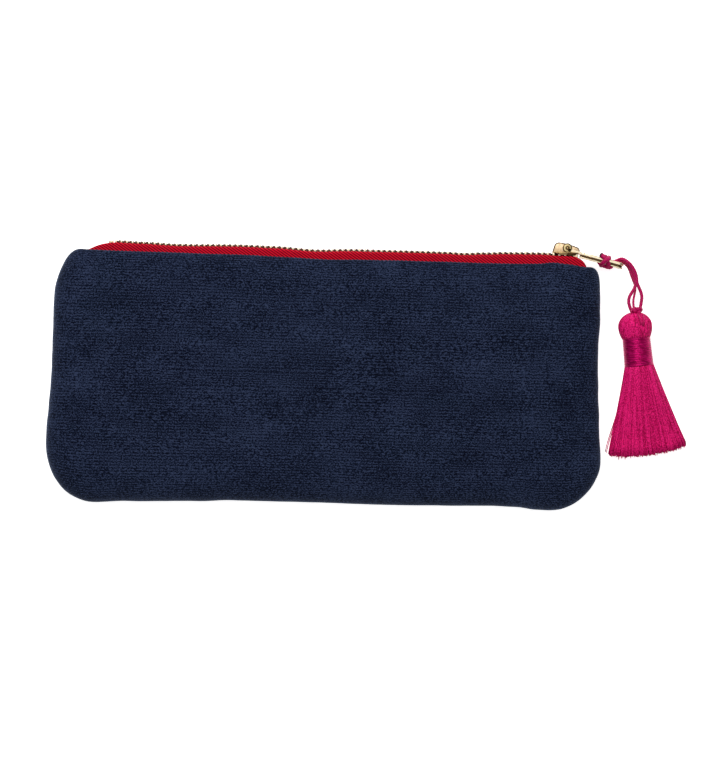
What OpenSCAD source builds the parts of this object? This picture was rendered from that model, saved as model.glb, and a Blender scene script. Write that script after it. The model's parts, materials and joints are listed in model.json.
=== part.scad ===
// Padded zip pouch with a tassel on its pull, lying flat on its back.
// Millimetres. +X runs along the zip towards its closed end, +Y from the bottom seam to the zip,
// +Z up out of the front panel. The origin is the middle of the back panel's resting face.

/* [Pouch] */
// Widest width, across the bottom half
pouch_w = 210; // [180:1:240]
// Height of a panel, from the bottom seam to the edge at the zip
pouch_h = 92.5; // [80:0.5:110]
// How far each side leans in at the zip
side_taper = 2.4; // [0:0.1:5]
// Radius of the bottom corners
bottom_corner_r = 19.5; // [14:0.5:24]
// Radius of the corner where the zip opens last
open_corner_r = 7.5; // [5:0.5:10]
// Radius of the corner where the zip closes
closed_corner_r = 4; // [3:0.5:8]
// Height of the side seam above the resting face
seam_z = 5.5; // [5.5:0.1:7]
// Rise of the front panel above the side seam
front_rise = 8.5; // [8:0.1:14]
// Width of the rounded edge of the front panel
front_roll = 13; // [10:0.5:18]
// Width of the rounded edge of the back panel
back_roll = 9; // [7:0.5:12]
// Thickness of the pile fabric
velvet_t = 1.4; // [1:0.1:1.5]
// Thickness of the interlining
interlining_t = 0.8; // [0.5:0.1:1]
// Thickness of the lining
lining_t = 0.4; // [0.3:0.1:0.6]
// Space between two layers of cloth
layer_gap = 0.15; // [0.1:0.05:0.2]
// Space between the front and back halves along the side seam
seam_gap = 0.3; // [0.2:0.1:0.5]
// Length of one sewn stitch with its space
stitch_pitch = 2.8; // [2.2:0.1:4]
// Diameter of the sewing thread
thread_d = 0.4; // [0.3:0.05:0.45]

/* [Zip] */
// Height of the top of the teeth above the panels' edges
zip_rise = 4.2; // [3.8:0.1:5.5]
// Distance from one tooth to the next on the same side
tooth_pitch = 2.1; // [1.9:0.1:2.6]
// Length of a tooth along the zip
tooth_l = 0.85; // [0.7:0.05:0.9]
// Thickness of a tooth
tooth_t = 1.9; // [1.7:0.1:2.1]
// How far a tooth reaches past the middle of the chain
tooth_reach = 0.6; // [0.4:0.05:0.8]
// Half the width of the closed row of teeth
tooth_leg = 2.2; // [2:0.05:2.3]
// Thickness of the tape
tape_t = 0.5; // [0.4:0.05:0.6]
// Distance from the middle of the chain to the edge of a tape
tape_edge = 1.05; // [1:0.05:1.3]
// Distance from the middle of the chain to the tape where it turns down to the panel
tape_drop = 3.6; // [3.6:0.1:4]
// How far the tape is tucked in behind the panel's edge
tape_tuck = 2.3; // [1.6:0.1:2.4]
// Distance from the pouch's side to the end of the tape where the zip opens last
tape_open_margin = 12.6; // [8:0.1:24]
// Distance from the pouch's side to the end of the tape where the zip closes
tape_closed_margin = 4.9; // [4.5:0.1:12]

/* [Slider] */
// Length of the slider's wings
slider_l = 9.6; // [9:0.1:11]
// Width of the upper wing
wing_w = 6.8; // [6.4:0.1:7.2]
// Thickness of a wing
wing_t = 0.75; // [0.6:0.05:0.9]
// Height of the pull's pivot above the middle of the chain
pivot_rise = 3.55; // [3.5:0.05:4]
// Length of the bridge that carries the pull
bridge_l = 8; // [6.5:0.1:8.2]
// Thickness of the bridge
bridge_t = 1.6; // [1.2:0.1:1.8]
// Diameter of the pull's pin
pin_d = 1.2; // [1:0.05:1.4]
// Length of the pull from its pin to its tip
pull_l = 22.1; // [21:0.1:26]
// Width of the pull
pull_w = 3.9; // [3.7:0.1:4.4]
// Thickness of the pull
pull_t = 1.2; // [0.9:0.05:1.25]
// Angle at which the pull hangs over the closed end
pull_droop = 13.5; // [8:0.5:14]
// Diameter of the hole near the pull's tip
pull_hole_d = 1.9; // [1.4:0.1:2.2]

/* [Tassel] */
// Diameter of the tassel's cord
cord_d = 1.3; // [1:0.05:1.35]
// Diameter of the thinner strand of the cord
fine_cord_d = 0.9; // [0.6:0.05:0.95]
// Radius of the tassel's head
head_r = 6.4; // [6:0.1:8]
// Height of the dome above the middle of the head
head_dome = 5.2; // [4.6:0.1:6]
// Distance from the middle of the head to the binding
neck_start = 4.2; // [3.6:0.1:4.6]
// Length of the binding
binding_l = 10.6; // [9:0.1:13]
// Turns of thread in the binding
binding_turns = 8; // [5:1:8]
// Diameter of the binding thread
binding_d = 0.8; // [0.6:0.05:0.85]
// Radius of the neck under the binding
neck_r = 4.75; // [4:0.05:5]
// Length of the skirt
skirt_l = 33.6; // [28:0.1:45]
// Width of the skirt at its cut end
skirt_w = 29; // [22:0.5:34]
// Thickness of the skirt at its cut end
skirt_t = 6.6; // [5:0.1:9]
// Angle of the tassel to the pouch's sides
tassel_lean = 7.3; // [0:0.1:15]

/* [Hidden] */
$fn = 32;

// Small clearances that the pieces share
fit_gap = 0.05;
run_gap = 0.15;
rest_gap = 0.1;

// Cloth
half_w = pouch_w / 2;
half_h = pouch_h / 2;
corner_steps = 5;
side_steps = 5;
edge_steps = 3;
// Points along the zip's edge, as shares of its straight run from the closed end
zip_edge_shares = [0.3, 0.65, 0.9, 0.97];
roll_steps = 5;
stitch_share = 0.6;
stitch_sides = 16;
interlining_inset = velvet_t + layer_gap;
lining_inset = interlining_inset + interlining_t + layer_gap;
// The interlining stops short of the seams, part of the way up the rounded edge
interlining_from = 45;
// The panels stand apart at the zip by what the tape needs, and come together round the corners
velvet_lift = tape_drop + tape_t / 2 + run_gap;
lining_lift = tape_drop - tape_t / 2 - 2 * run_gap;
lift_full = 1.2;
half_top = half_w - side_taper;
tape_open_end = half_top - tape_open_margin;
tape_closed_end = half_top - tape_closed_margin;
closed_lift_run = min(tape_closed_margin, closed_corner_r * half_top / half_w);

// Chain
chain_y = half_h + zip_rise - tooth_t / 2;
tooth_slot = tape_t + 4 * fit_gap;
tape_turn = 0.5;
tape_bend = tape_drop - tape_turn;
tape_foot = zip_rise - tooth_t / 2 + tape_tuck;
tape_slope_open = 10;
tape_slope_closed = 2.5;
tooth_chamfer = 0.25;
tooth_edge = 0.2;
head_thinner = 0.2;
shoulder_from = 0.35;
shoulder_to = 0.6;
stop_l = 1.7;
first_tooth = -tape_open_end + tape_slope_open;
slider_from_end = 6.8;
slider_x = tape_closed_end - slider_from_end;
teeth_in_slider = 1.3;
last_tooth = slider_x + teeth_in_slider;
tooth_count = floor((last_tooth - tooth_pitch / 2 - first_tooth) / tooth_pitch) + 1;

// Slider: local x from the middle of the wings, y out of the pouch, z across the zip
channel = tooth_t / 2 + run_gap;
wing_top = channel + wing_t;
wing_setback = 0.6;
wing_front = slider_l / 2 - wing_setback;
wing_r = 1.6;
lip_from_teeth = 0.35;
lip_inner = tooth_leg + lip_from_teeth;
slide_gap = 0.2;
lip_y = tape_t / 2 + slide_gap;
lower_wing_gap = 0.4;
lower_wing_w = 2 * (tape_drop - tape_t / 2 - lower_wing_gap);
post_setback = 1.3;
post_x = wing_front - post_setback;
post_r = 0.75;
pivot_x = 0.4;
bridge_over_pivot = 1.35;
bridge_top = pivot_rise + bridge_over_pivot;
bridge_r = 0.9;

// Pull: local x from the pin towards the tip, y out of its upper face, z across it
ear_r = 1.5;
ear_inner = bridge_t / 2 + slide_gap;
slot_gap = 0.8;
pull_slot = bridge_l / 2 + pivot_x + slot_gap;
pin_clear = 0.03;
bridge_clear = 0.06;
rivet_r = 0.95;
rivet_t = 0.35;
hole_x = pull_l - pull_w / 2;

// Cord
hitch_x = 15.4;
hitch_turns = 2;
turn_gap = 0.5;
hitch_pitch = cord_d + turn_gap;
hitch_sides = 6;
loop_rings = 24;
cord_lay = cord_d / 2 + fit_gap;
cord_sides = 8;
hitch_at = [slider_x + pivot_x, chain_y + pivot_rise] + hitch_x * [cos(pull_droop), -sin(pull_droop)];
// Routes of the three strands from the middle of the hitch, at the height of the zip: under the turns of
// the hitch, along the pull to its tip, over in a curve and down to the top of the head
route_left = [
    [-2.5, 2.0, -0.2], [-0.6, 1.5, -0.2], [1.4, 1.1, -0.2], [3.3, 0.6, -0.2], [5.2, 0.1, -0.3],
    [6.9, -0.5, -0.4], [8.4, -1.8, -0.6], [9.6, -3.5, -0.8], [10.5, -5.4, -0.9], [11.2, -7.3, -0.9],
    [11.6, -9.2, -0.9], [11.1, -11.0, -0.6], [10.1, -12.7, -0.3], [9.2, -14.4, 0.1], [9.0, -16.3, 0.5],
    [9.4, -18.1, 0.8], [10.25, -19.97, 0.9]
];
route_inner = [
    [-2.3, 1.8, -1.4], [-0.4, 1.3, -1.4], [1.5, 0.9, -1.4], [3.4, 0.4, -1.4], [5.3, -0.1, -1.6],
    [6.9, -0.9, -1.9], [8.2, -2.3, -2.1], [9.3, -4.0, -2.2], [10.0, -5.9, -2.2], [10.8, -7.8, -2.2],
    [11.5, -9.6, -2.1], [11.6, -11.4, -1.6], [11.3, -13.2, -1.0], [10.9, -15.0, -0.4], [10.8, -16.8, 0.2],
    [11.0, -18.5, 0.7], [11.42, -19.83, 0.9]
];
route_right = [
    [-2.5, 2.0, 1.2], [-0.6, 1.5, 1.2], [1.4, 1.1, 1.2], [3.3, 0.6, 1.2], [5.2, 0.1, 1.2],
    [7.0, -0.3, 1.1], [8.7, -1.5, 1.0], [10.1, -3.1, 0.8], [11.1, -4.9, 0.7], [11.7, -6.9, 0.7],
    [11.9, -8.8, 0.7], [12.7, -10.6, 0.7], [13.5, -12.4, 0.7], [13.9, -14.3, 0.7], [13.7, -16.3, 0.8],
    [13.4, -18.3, 0.9], [13.1, -20.0, 1.0]
];

// Tassel: local x from the middle of the head down the tassel, lying on the same surface as the pouch
head_top = hitch_at + [10.94, -20.14];
head_middle = head_top + head_dome * [sin(tassel_lean), -cos(tassel_lean)];
tassel_at = [head_middle.x, head_middle.y, head_r + rest_gap];
neck_end = neck_start + binding_l;
binding_r = neck_r + fit_gap + binding_d / 2;
binding_pitch = (binding_l - binding_d) / binding_turns;
binding_sides = 6;
dome_steps = 10;
belly_steps = 5;
skirt_sides = 24;
skirt_rings = 8;
skirt_flare = 1.15;

function smooth(t) = let (c = min(1, max(0, t))) c * c * (3 - 2 * c);
function unit(v) = v / norm(v);
function joined(lists) = [for (list = lists) each list];

// Plan of a panel at a distance in from its edge, anticlockwise from the zip's closed end
function arc(centre, r, from) =
    [for (k = [0:corner_steps]) let (a = from + 90 * k / corner_steps) centre + r * [cos(a), sin(a)]];
function between(a, b, steps) = [for (k = [1:steps - 1]) a + (b - a) * k / steps];
function lean(y) = 1 - side_taper / half_w * (y + half_h) / pouch_h;
function plan_ring(inset) =
    let (share = 1 - inset / half_h,
         w = half_w - inset,
         h = half_h - inset,
         rc = closed_corner_r * share,
         ro = open_corner_r * share,
         rb = bottom_corner_r * share,
         top_right = arc([w - rc, h - rc], rc, 0),
         top_left = arc([ro - w, h - ro], ro, 90),
         bottom_left = arc([rb - w, rb - h], rb, 180),
         bottom_right = arc([w - rb, rb - h], rb, 270))
    [for (p = joined([
        top_right, [for (s = zip_edge_shares) top_right[corner_steps] * (1 - s) + top_left[0] * s],
        top_left, between(top_left[corner_steps], bottom_left[0], side_steps),
        bottom_left, between(bottom_left[corner_steps], bottom_right[0], edge_steps),
        bottom_right, between(bottom_right[corner_steps], top_right[0], side_steps)
    ])) [p.x * lean(p.y), p.y]];
function rim_height(p, lift) =
    let (corner_r = p.x > 0 ? closed_corner_r : open_corner_r,
         round_corner = smooth((p.y - half_h + corner_r) / (corner_r - lift_full)),
         open_end = smooth((p.x + half_top) / tape_open_margin),
         closed_end = smooth((half_top - p.x) / closed_lift_run))
    seam_gap / 2 + (lift - seam_gap / 2) * min(round_corner, open_end, closed_end);

// One layer of cloth above the seam plane: a shallow dish with a rounded edge and a flat middle
module cloth_dish(rise, roll, inset, wall, lift, from = 0) {
    angles = [for (k = [0:roll_steps]) from + (90 - from) * k / roll_steps];
    edge = [for (p = plan_ring(0)) rim_height(p, lift)];
    n = len(edge);
    function dish_ring(a, depth) =
        let (plan = plan_ring(inset + depth + roll * (1 - cos(a))))
        [for (i = [0:n - 1]) [plan[i].x, plan[i].y, edge[i] + (rise - depth - edge[i]) * sin(a)]];
    rings = joined([[for (a = angles) dish_ring(a, 0)], [for (a = angles) dish_ring(a, wall)]]);
    outer_last = n * roll_steps;
    inner_first = n * (roll_steps + 1);
    inner_last = inner_first + n * roll_steps;
    outer_middle = inner_last + n;
    inner_middle = outer_middle + 1;
    points = joined([joined(rings), [[0, 0, rise], [0, 0, rise - wall]]]);
    function quad(a, b, i, flip) =
        let (k = (i + 1) % n)
        flip
            ? [[a + i, a + k, b + k], [a + i, b + k, b + i]]
            : [[a + i, b + i, b + k], [a + i, b + k, a + k]];
    faces = joined([
        [for (j = [0:roll_steps - 1], i = [0:n - 1]) each quad(n * j, n * (j + 1), i, false)],
        [for (i = [0:n - 1]) [outer_middle, outer_last + (i + 1) % n, outer_last + i]],
        [for (j = [0:roll_steps - 1], i = [0:n - 1])
            each quad(inner_first + n * j, inner_first + n * (j + 1), i, true)],
        [for (i = [0:n - 1]) [inner_middle, inner_last + i, inner_last + (i + 1) % n]],
        [for (i = [0:n - 1]) each quad(0, inner_first, i, true)]
    ]);
    polyhedron(points, faces, convexity = 6);
}

// Solid through a list of rings of points, closed at both ends
module loft(rings) {
    n = len(rings[0]);
    last = n * (len(rings) - 1);
    polyhedron(joined(rings), joined([
        [[for (i = [0:n - 1]) i]],
        [for (j = [0:len(rings) - 2], i = [0:n - 1])
            let (a = n * j, b = n * (j + 1), k = (i + 1) % n)
            each [[a + i, b + i, b + k], [a + i, b + k, a + k]]],
        [[for (i = [n - 1:-1:0]) last + i]]
    ]), convexity = 6);
}

// Round tube along points, with its sides set out from a direction that it never runs along
module tube(points, d, sides, across) {
    last = len(points) - 1;
    loft([for (j = [0:last])
        let (t = unit(points[min(j + 1, last)] - points[max(j - 1, 0)]),
             n = unit(cross(across, t)),
             b = cross(t, n))
        [for (i = [0:sides - 1]) let (a = 360 * i / sides) points[j] + d / 2 * (cos(a) * n + sin(a) * b)]]);
}

function least_gap(points, d, apart) =
    let (last = len(points) - 1)
    min([for (i = [0:last - apart], j = [i + apart:last]) norm(points[i] - points[j])]) - d;

// Points with a straight end of one tube diameter at each end
function with_straight_ends(points, d) =
    let (last = len(points) - 1)
    joined([
        [points[0] + d * unit(points[0] - points[1])],
        points,
        [points[last] + d * unit(points[last] - points[last - 1])]
    ]);

module front_side() {
    translate([0, 0, seam_z]) children();
}

module back_side() {
    translate([0, 0, seam_z]) mirror([0, 0, 1]) children();
}

module on_chain(x = 0) {
    translate([x, chain_y, 0]) children();
}

// Section across the zip drawn as [distance from its middle, height], run along the zip
module along_zip(length) {
    rotate([0, -90, 0]) linear_extrude(length, center = true) children();
}

module front_panel() {
    color("#243150") front_side() cloth_dish(front_rise, front_roll, 0, velvet_t, velvet_lift);
}

module back_panel() {
    color("#222e4b") back_side() cloth_dish(seam_z, back_roll, 0, velvet_t, velvet_lift);
}

module interlining(rise, roll) {
    cloth_dish(
        rise - interlining_inset, roll, interlining_inset, interlining_t, velvet_lift, interlining_from
    );
}

module front_interlining() {
    color("ivory") front_side() interlining(front_rise, front_roll);
}

module back_interlining() {
    color("ivory") back_side() interlining(seam_z, back_roll);
}

module lining(rise, roll) {
    cloth_dish(rise - lining_inset, roll, lining_inset, lining_t, lining_lift);
}

module front_lining() {
    color("#38456b") front_side() lining(front_rise, front_roll);
}

module back_lining() {
    color("#38456b") back_side() lining(seam_z, back_roll);
}

module stitch(length) {
    rotate([0, 90, 0]) cylinder(h = length, d = thread_d, center = true, $fn = stitch_sides);
}

// Stitches down one side, along the bottom and up the other side, in the seam between velvet and lining
module seam_stitches() {
    inset = (velvet_t + lining_inset) / 2;
    plan = plan_ring(inset);
    seam_end = half_h - max(open_corner_r, closed_corner_r);
    sewn = [for (i = [1:len(plan)]) let (p = plan[i % len(plan)]) if (p.y < seam_end) p];
    color("midnightblue") back_side() translate([0, 0, seam_gap / 2 + thread_d])
        for (i = [0:len(sewn) - 2]) {
            run = sewn[i + 1] - sewn[i];
            count = max(1, round(norm(run) / stitch_pitch));
            for (k = [0:count - 1])
                translate(concat(sewn[i] + run * (k + 0.5) / count, 0))
                    rotate([0, 0, atan2(run.y, run.x)]) stitch(stitch_share * norm(run) / count);
        }
}

// Stitches that hold a tape to its panel, on the tape's inner face
module zip_stitches() {
    row_l = tape_open_end + tape_closed_end - 4 * stitch_pitch;
    count = floor(row_l / stitch_pitch);
    middle = (tape_closed_end - tape_open_end) / 2;
    for (k = [0:count - 1])
        translate([
            middle + (k - (count - 1) / 2) * stitch_pitch,
            half_h - tape_tuck / 2,
            tape_drop - tape_t / 2 - fit_gap - thread_d / 2
        ]) stitch(stitch_share * stitch_pitch);
}

module front_zip_stitches() {
    color("midnightblue") front_side() zip_stitches();
}

module back_zip_stitches() {
    color("midnightblue") back_side() zip_stitches();
}

// Woven tape: flat beside the teeth, then down to the panel and in behind its edge
module zip_tape() {
    half_t = tape_t / 2;
    middle = (tape_closed_end - tape_open_end) / 2;
    low = half_h - tape_tuck - tape_t;
    intersection() {
        on_chain(middle) along_zip(tape_open_end + tape_closed_end) polygon([
            [tape_edge, half_t], [tape_bend, half_t], [tape_drop + half_t, -tape_t],
            [tape_drop + half_t, -tape_foot], [tape_drop - half_t, -tape_foot],
            [tape_drop - half_t, -tape_t], [tape_bend - half_t, -half_t], [tape_edge, -half_t]
        ]);
        linear_extrude(tape_drop + tape_t) polygon([
            [-tape_open_end, low], [tape_closed_end, low], [tape_closed_end, half_h],
            [tape_closed_end - tape_slope_closed, half_h + zip_rise],
            [-tape_open_end + tape_slope_open, half_h + zip_rise], [-tape_open_end, half_h]
        ]);
    }
}

module front_zip_tape() {
    color("#c10d1e") front_side() zip_tape();
}

module back_zip_tape() {
    color("#c10d1e") back_side() zip_tape();
}

// One tooth: two legs that grip the tape's edge and a head that reaches past the middle
module tooth() {
    t = tooth_t / 2;
    head_t = t - head_thinner;
    throat = tape_edge - fit_gap;
    slot = tooth_slot / 2;
    c = tooth_chamfer;
    upper = [
        [throat, slot], [tooth_leg, slot], [tooth_leg, t - c], [tooth_leg - tooth_edge, t],
        [shoulder_to, t], [shoulder_from, head_t], [c - tooth_reach, head_t], [-tooth_reach, head_t - c]
    ];
    lower = [for (i = [len(upper) - 1:-1:0]) [upper[i].x, -upper[i].y]];
    along_zip(tooth_l) polygon(concat(upper, lower));
}

module teeth_row(start) {
    for (k = [0:tooth_count - 1]) on_chain(start + k * tooth_pitch) tooth();
}

module front_zip_teeth() {
    color("gold") front_side() teeth_row(first_tooth);
}

module back_zip_teeth() {
    color("gold") back_side() teeth_row(first_tooth + tooth_pitch / 2);
}

// Clamp on the end of one tape, beside the slider's post
module top_stop() {
    t = tooth_t / 2;
    inner = post_r + slide_gap;
    throat = tape_edge - fit_gap;
    slot = tooth_slot / 2;
    on_chain(slider_x + post_x) along_zip(stop_l) polygon([
        [inner, -t], [tooth_leg, -t], [tooth_leg, -slot], [throat, -slot],
        [throat, slot], [tooth_leg, slot], [tooth_leg, t], [inner, t]
    ]);
}

module front_top_stop() {
    color("gold") front_side() top_stop();
}

module back_top_stop() {
    color("gold") back_side() top_stop();
}

// Clamp across both tapes at the open end
module bottom_stop() {
    t = tooth_t / 2;
    throat = tape_edge - fit_gap;
    slot = tooth_slot / 2;
    stop_x = first_tooth - stop_l / 2 - tooth_pitch / 2;
    half = [
        [tooth_leg, -t], [tooth_leg, -slot], [throat, -slot],
        [throat, slot], [tooth_leg, slot], [tooth_leg, t]
    ];
    color("gold") front_side() on_chain(stop_x) along_zip(stop_l)
        polygon(concat(half, [for (p = half) -p]));
}

module rounded_plate(from, to, width, thick, r) {
    rotate([-90, 0, 0]) linear_extrude(thick) union() {
        translate([from + r, -width / 2]) square([to - from - 2 * r, width]);
        translate([from, r - width / 2]) square([to - from, width - 2 * r]);
        for (x = [from + r, to - r], y = [r - width / 2, width / 2 - r]) translate([x, y]) circle(r);
    }
}

module slider_body() {
    rear = -slider_l / 2;
    lip_from = rear + wing_r;
    lip_to = wing_front - wing_r;
    color("goldenrod") front_side() on_chain(slider_x) {
        translate([0, channel, 0]) rounded_plate(rear, wing_front, wing_w, wing_t, wing_r);
        translate([0, -channel - wing_t, 0]) rounded_plate(rear, wing_front, lower_wing_w, wing_t, wing_r);
        translate([post_x, -wing_top, 0]) rotate([-90, 0, 0]) cylinder(h = 2 * wing_top, r = post_r);
        for (side = [-1, 1]) {
            upper_lip = (wing_w / 2 + lip_inner) / 2;
            lower_lip = (lower_wing_w / 2 + lip_inner) / 2;
            translate([(lip_from + lip_to) / 2, (lip_y + wing_top) / 2, side * upper_lip])
                cube([lip_to - lip_from, wing_top - lip_y, wing_w / 2 - lip_inner], center = true);
            translate([(lip_from + lip_to) / 2, -(lip_y + wing_top) / 2, side * lower_lip])
                cube([lip_to - lip_from, wing_top - lip_y, lower_wing_w / 2 - lip_inner], center = true);
        }
    }
}

// Lug on the upper wing, bored for the pull's pin
module slider_bridge() {
    from = -bridge_l / 2;
    to = bridge_l / 2;
    color("goldenrod") front_side() on_chain(slider_x) difference() {
        union() {
            translate([from, wing_top, -bridge_t / 2])
                cube([bridge_l, bridge_top - bridge_r - wing_top, bridge_t]);
            translate([from + bridge_r, wing_top, -bridge_t / 2])
                cube([bridge_l - 2 * bridge_r, bridge_top - wing_top, bridge_t]);
            for (x = [from + bridge_r, to - bridge_r])
                translate([x, bridge_top - bridge_r, 0]) cylinder(h = bridge_t, r = bridge_r, center = true);
        }
        translate([pivot_x, pivot_rise, 0])
            cylinder(h = 2 * bridge_t, d = pin_d + 2 * bridge_clear, center = true);
    }
}

module on_pull() {
    front_side() on_chain(slider_x) translate([pivot_x, pivot_rise, 0])
        rotate([0, 0, -pull_droop]) children();
}

module pull_tab() {
    half = pull_w / 2;
    ear_t = half - ear_inner;
    color("gold") on_pull() difference() {
        union() {
            for (side = [-1, 1]) {
                translate([0, 0, side * (ear_inner + ear_t / 2)])
                    cylinder(h = ear_t, r = ear_r, center = true);
                translate([pull_slot / 2, 0, side * (ear_inner + ear_t / 2)])
                    cube([pull_slot + ear_t, pull_t, ear_t], center = true);
            }
            translate([pull_slot, -pull_t / 2, -half]) cube([hole_x - pull_slot, pull_t, pull_w]);
            translate([hole_x, 0, 0]) rotate([90, 0, 0]) cylinder(h = pull_t, r = half, center = true);
        }
        cylinder(h = 2 * pull_w, d = pin_d + 2 * pin_clear, center = true);
        translate([hole_x, 0, 0]) rotate([90, 0, 0]) cylinder(h = 2 * pull_t, d = pull_hole_d, center = true);
    }
}

// Riveted pin through the pull's two ears and the bridge
module pull_pin() {
    color("goldenrod") on_pull() {
        cylinder(h = pull_w + 2 * fit_gap + rivet_t, d = pin_d, center = true);
        for (side = [-1, 1])
            translate([0, 0, side * (pull_w / 2 + fit_gap + rivet_t / 2)])
                cylinder(h = rivet_t, r = rivet_r, center = true);
    }
}

// One turn round the pull and the strands that lie on it, as [height, across]
function hitch_turn() =
    let (wide = pull_w / 2,
         low = -pull_t / 2,
         high = pull_t / 2 + cord_d + 2 * fit_gap,
         corners = [[high, wide], [high, -wide], [low, -wide], [low, wide]],
         per_corner = loop_rings / 4)
    [for (c = [0:3]) let (corner = corners[c], after = corners[(c + 1) % 4])
        each concat(
            [for (k = [0:per_corner - 2]) let (a = 90 * c - 90 + 90 * k / (per_corner - 2))
                [corner[0] + cord_lay * cos(a), corner[1] - cord_lay * sin(a)]],
            [let (a = 90 * c) (corner + after) / 2 + cord_lay * [cos(a), -sin(a)]]
        )];

// The bight of the cord, wound round the pull over the strands
module cord_hitch() {
    turn = hitch_turn();
    count = hitch_turns * loop_rings;
    start = hitch_x - hitch_turns * hitch_pitch / 2;
    points = [for (i = [0:count]) let (p = turn[i % loop_rings])
        [start + hitch_pitch * i / loop_rings, p[0], p[1]]];
    echo(hitch_least_gap = least_gap(points, cord_d, loop_rings / 2));
    color("#c0145e") on_pull() tube(with_straight_ends(points, cord_d), cord_d, hitch_sides, [1, 0, 0]);
}

module cord_strand(route, d) {
    color("#c0145e") front_side() translate(concat(hitch_at, 0)) tube(route, d, cord_sides, [0, 0, 1]);
}

module cord_strand_left() {
    cord_strand(route_left, cord_d);
}

module cord_strand_inner() {
    cord_strand(route_inner, fine_cord_d);
}

module cord_strand_right() {
    cord_strand(route_right, cord_d);
}

module on_tassel() {
    translate(tassel_at) rotate([0, 0, tassel_lean - 90]) children();
}

// Head of the tassel with the neck that carries the binding
module tassel_head() {
    neck_a = asin(neck_start / head_r);
    color("#b80f54") on_tassel() rotate([0, 90, 0]) rotate_extrude() polygon(joined([
        [[0, -head_dome]],
        [for (k = [1:dome_steps]) let (a = 90 * k / dome_steps) [head_r * sin(a), -head_dome * cos(a)]],
        [for (k = [1:belly_steps]) let (a = neck_a * k / belly_steps) [head_r * cos(a), head_r * sin(a)]],
        [[neck_r, neck_start], [neck_r, neck_end], [0, neck_end]]
    ]));
}

// Thread wound round the neck
module tassel_binding() {
    count = binding_turns * loop_rings;
    points = [for (i = [0:count]) let (a = 360 * i / loop_rings)
        [neck_start + binding_d / 2 + binding_pitch * i / loop_rings, binding_r * cos(a), binding_r * sin(a)]];
    echo(binding_least_gap = least_gap(points, binding_d, loop_rings / 2));
    color("#9e0a4b") on_tassel()
        tube(with_straight_ends(points, binding_d), binding_d, binding_sides, [1, 0, 0]);
}

// Skirt: round at the neck, spread flat on the surface at its cut end
module tassel_skirt() {
    top_r = binding_r + binding_d / 2;
    end_z = skirt_t / 2 + rest_gap - tassel_at.z;
    color("#c0145e") on_tassel() loft([for (k = [0:skirt_rings])
        let (s = k / skirt_rings,
             half_wide = top_r + (skirt_w / 2 - top_r) * pow(s, skirt_flare),
             half_thick = top_r + (skirt_t / 2 - top_r) * smooth(s),
             z = end_z * smooth(s))
        [for (i = [0:skirt_sides - 1]) let (a = 360 * i / skirt_sides)
            [neck_end + rest_gap + skirt_l * s, half_wide * cos(a), z + half_thick * sin(a)]]]);
}

front_panel();
back_panel();
front_interlining();
back_interlining();
front_lining();
back_lining();
seam_stitches();
front_zip_stitches();
back_zip_stitches();
front_zip_tape();
back_zip_tape();
front_zip_teeth();
back_zip_teeth();
front_top_stop();
back_top_stop();
bottom_stop();
slider_body();
slider_bridge();
pull_tab();
pull_pin();
cord_hitch();
cord_strand_left();
cord_strand_inner();
cord_strand_right();
tassel_head();
tassel_binding();
tassel_skirt();
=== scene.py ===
"""Padded velvet zip pouch with a yarn tassel on its pull, lying on a white table and seen from above."""

import json
import math

import bmesh
import bpy
import numpy as np
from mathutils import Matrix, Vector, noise


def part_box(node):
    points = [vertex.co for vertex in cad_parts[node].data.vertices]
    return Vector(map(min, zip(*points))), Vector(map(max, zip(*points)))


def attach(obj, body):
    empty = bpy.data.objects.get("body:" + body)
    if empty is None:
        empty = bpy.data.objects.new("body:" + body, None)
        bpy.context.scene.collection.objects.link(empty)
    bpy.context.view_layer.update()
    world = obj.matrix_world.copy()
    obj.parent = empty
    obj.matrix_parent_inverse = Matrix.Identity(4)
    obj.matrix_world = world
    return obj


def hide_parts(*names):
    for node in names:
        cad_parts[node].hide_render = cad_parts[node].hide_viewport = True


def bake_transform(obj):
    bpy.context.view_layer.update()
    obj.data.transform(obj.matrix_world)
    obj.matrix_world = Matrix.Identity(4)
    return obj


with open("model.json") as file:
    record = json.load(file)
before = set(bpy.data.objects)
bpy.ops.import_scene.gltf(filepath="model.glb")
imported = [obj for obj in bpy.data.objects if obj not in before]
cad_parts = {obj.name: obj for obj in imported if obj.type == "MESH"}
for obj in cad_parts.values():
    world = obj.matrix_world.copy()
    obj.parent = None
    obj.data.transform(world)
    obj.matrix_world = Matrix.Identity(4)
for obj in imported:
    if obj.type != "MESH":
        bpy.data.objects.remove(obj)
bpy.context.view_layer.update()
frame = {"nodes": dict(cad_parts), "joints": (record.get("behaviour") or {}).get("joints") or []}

MM = 0.001
rng = np.random.default_rng(11)


# Sizes in millimetres, read from the frame where it has them


def node_box(node):
    low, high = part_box(node)
    return np.array(low) / MM, np.array(high) / MM


def joint_place(name):
    joint = next(j for j in frame["joints"] if j["name"] == name)
    return np.array(joint["pos_m"]) / MM


front_low, front_high = node_box("front_panel")
back_low, back_high = node_box("back_panel")
tape_low, tape_high = node_box("front_zip_tape")
teeth_low, teeth_high = node_box("front_zip_teeth")
slider_low, slider_high = node_box("slider_body")
PIVOT = joint_place("pull_swing")
HITCH = joint_place("tassel_swing")

# Pouch: half its bottom edge and height, its corners, and the rise and rounded edge of each side
HALF_W, HALF_H = 105.0, front_high[1]
SIDE_TAPER = 2.4
HALF_TOP = HALF_W - SIDE_TAPER
BOTTOM_R, OPEN_R, CLOSED_R = 19.5, 9.0, 4.0
SEAM_Z = (front_low[2] + back_high[2]) / 2
FRONT_RISE, BACK_RISE = front_high[2] - SEAM_Z, SEAM_Z - back_low[2]
FRONT_ROLL, BACK_ROLL = 15.0, 9.0
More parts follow.
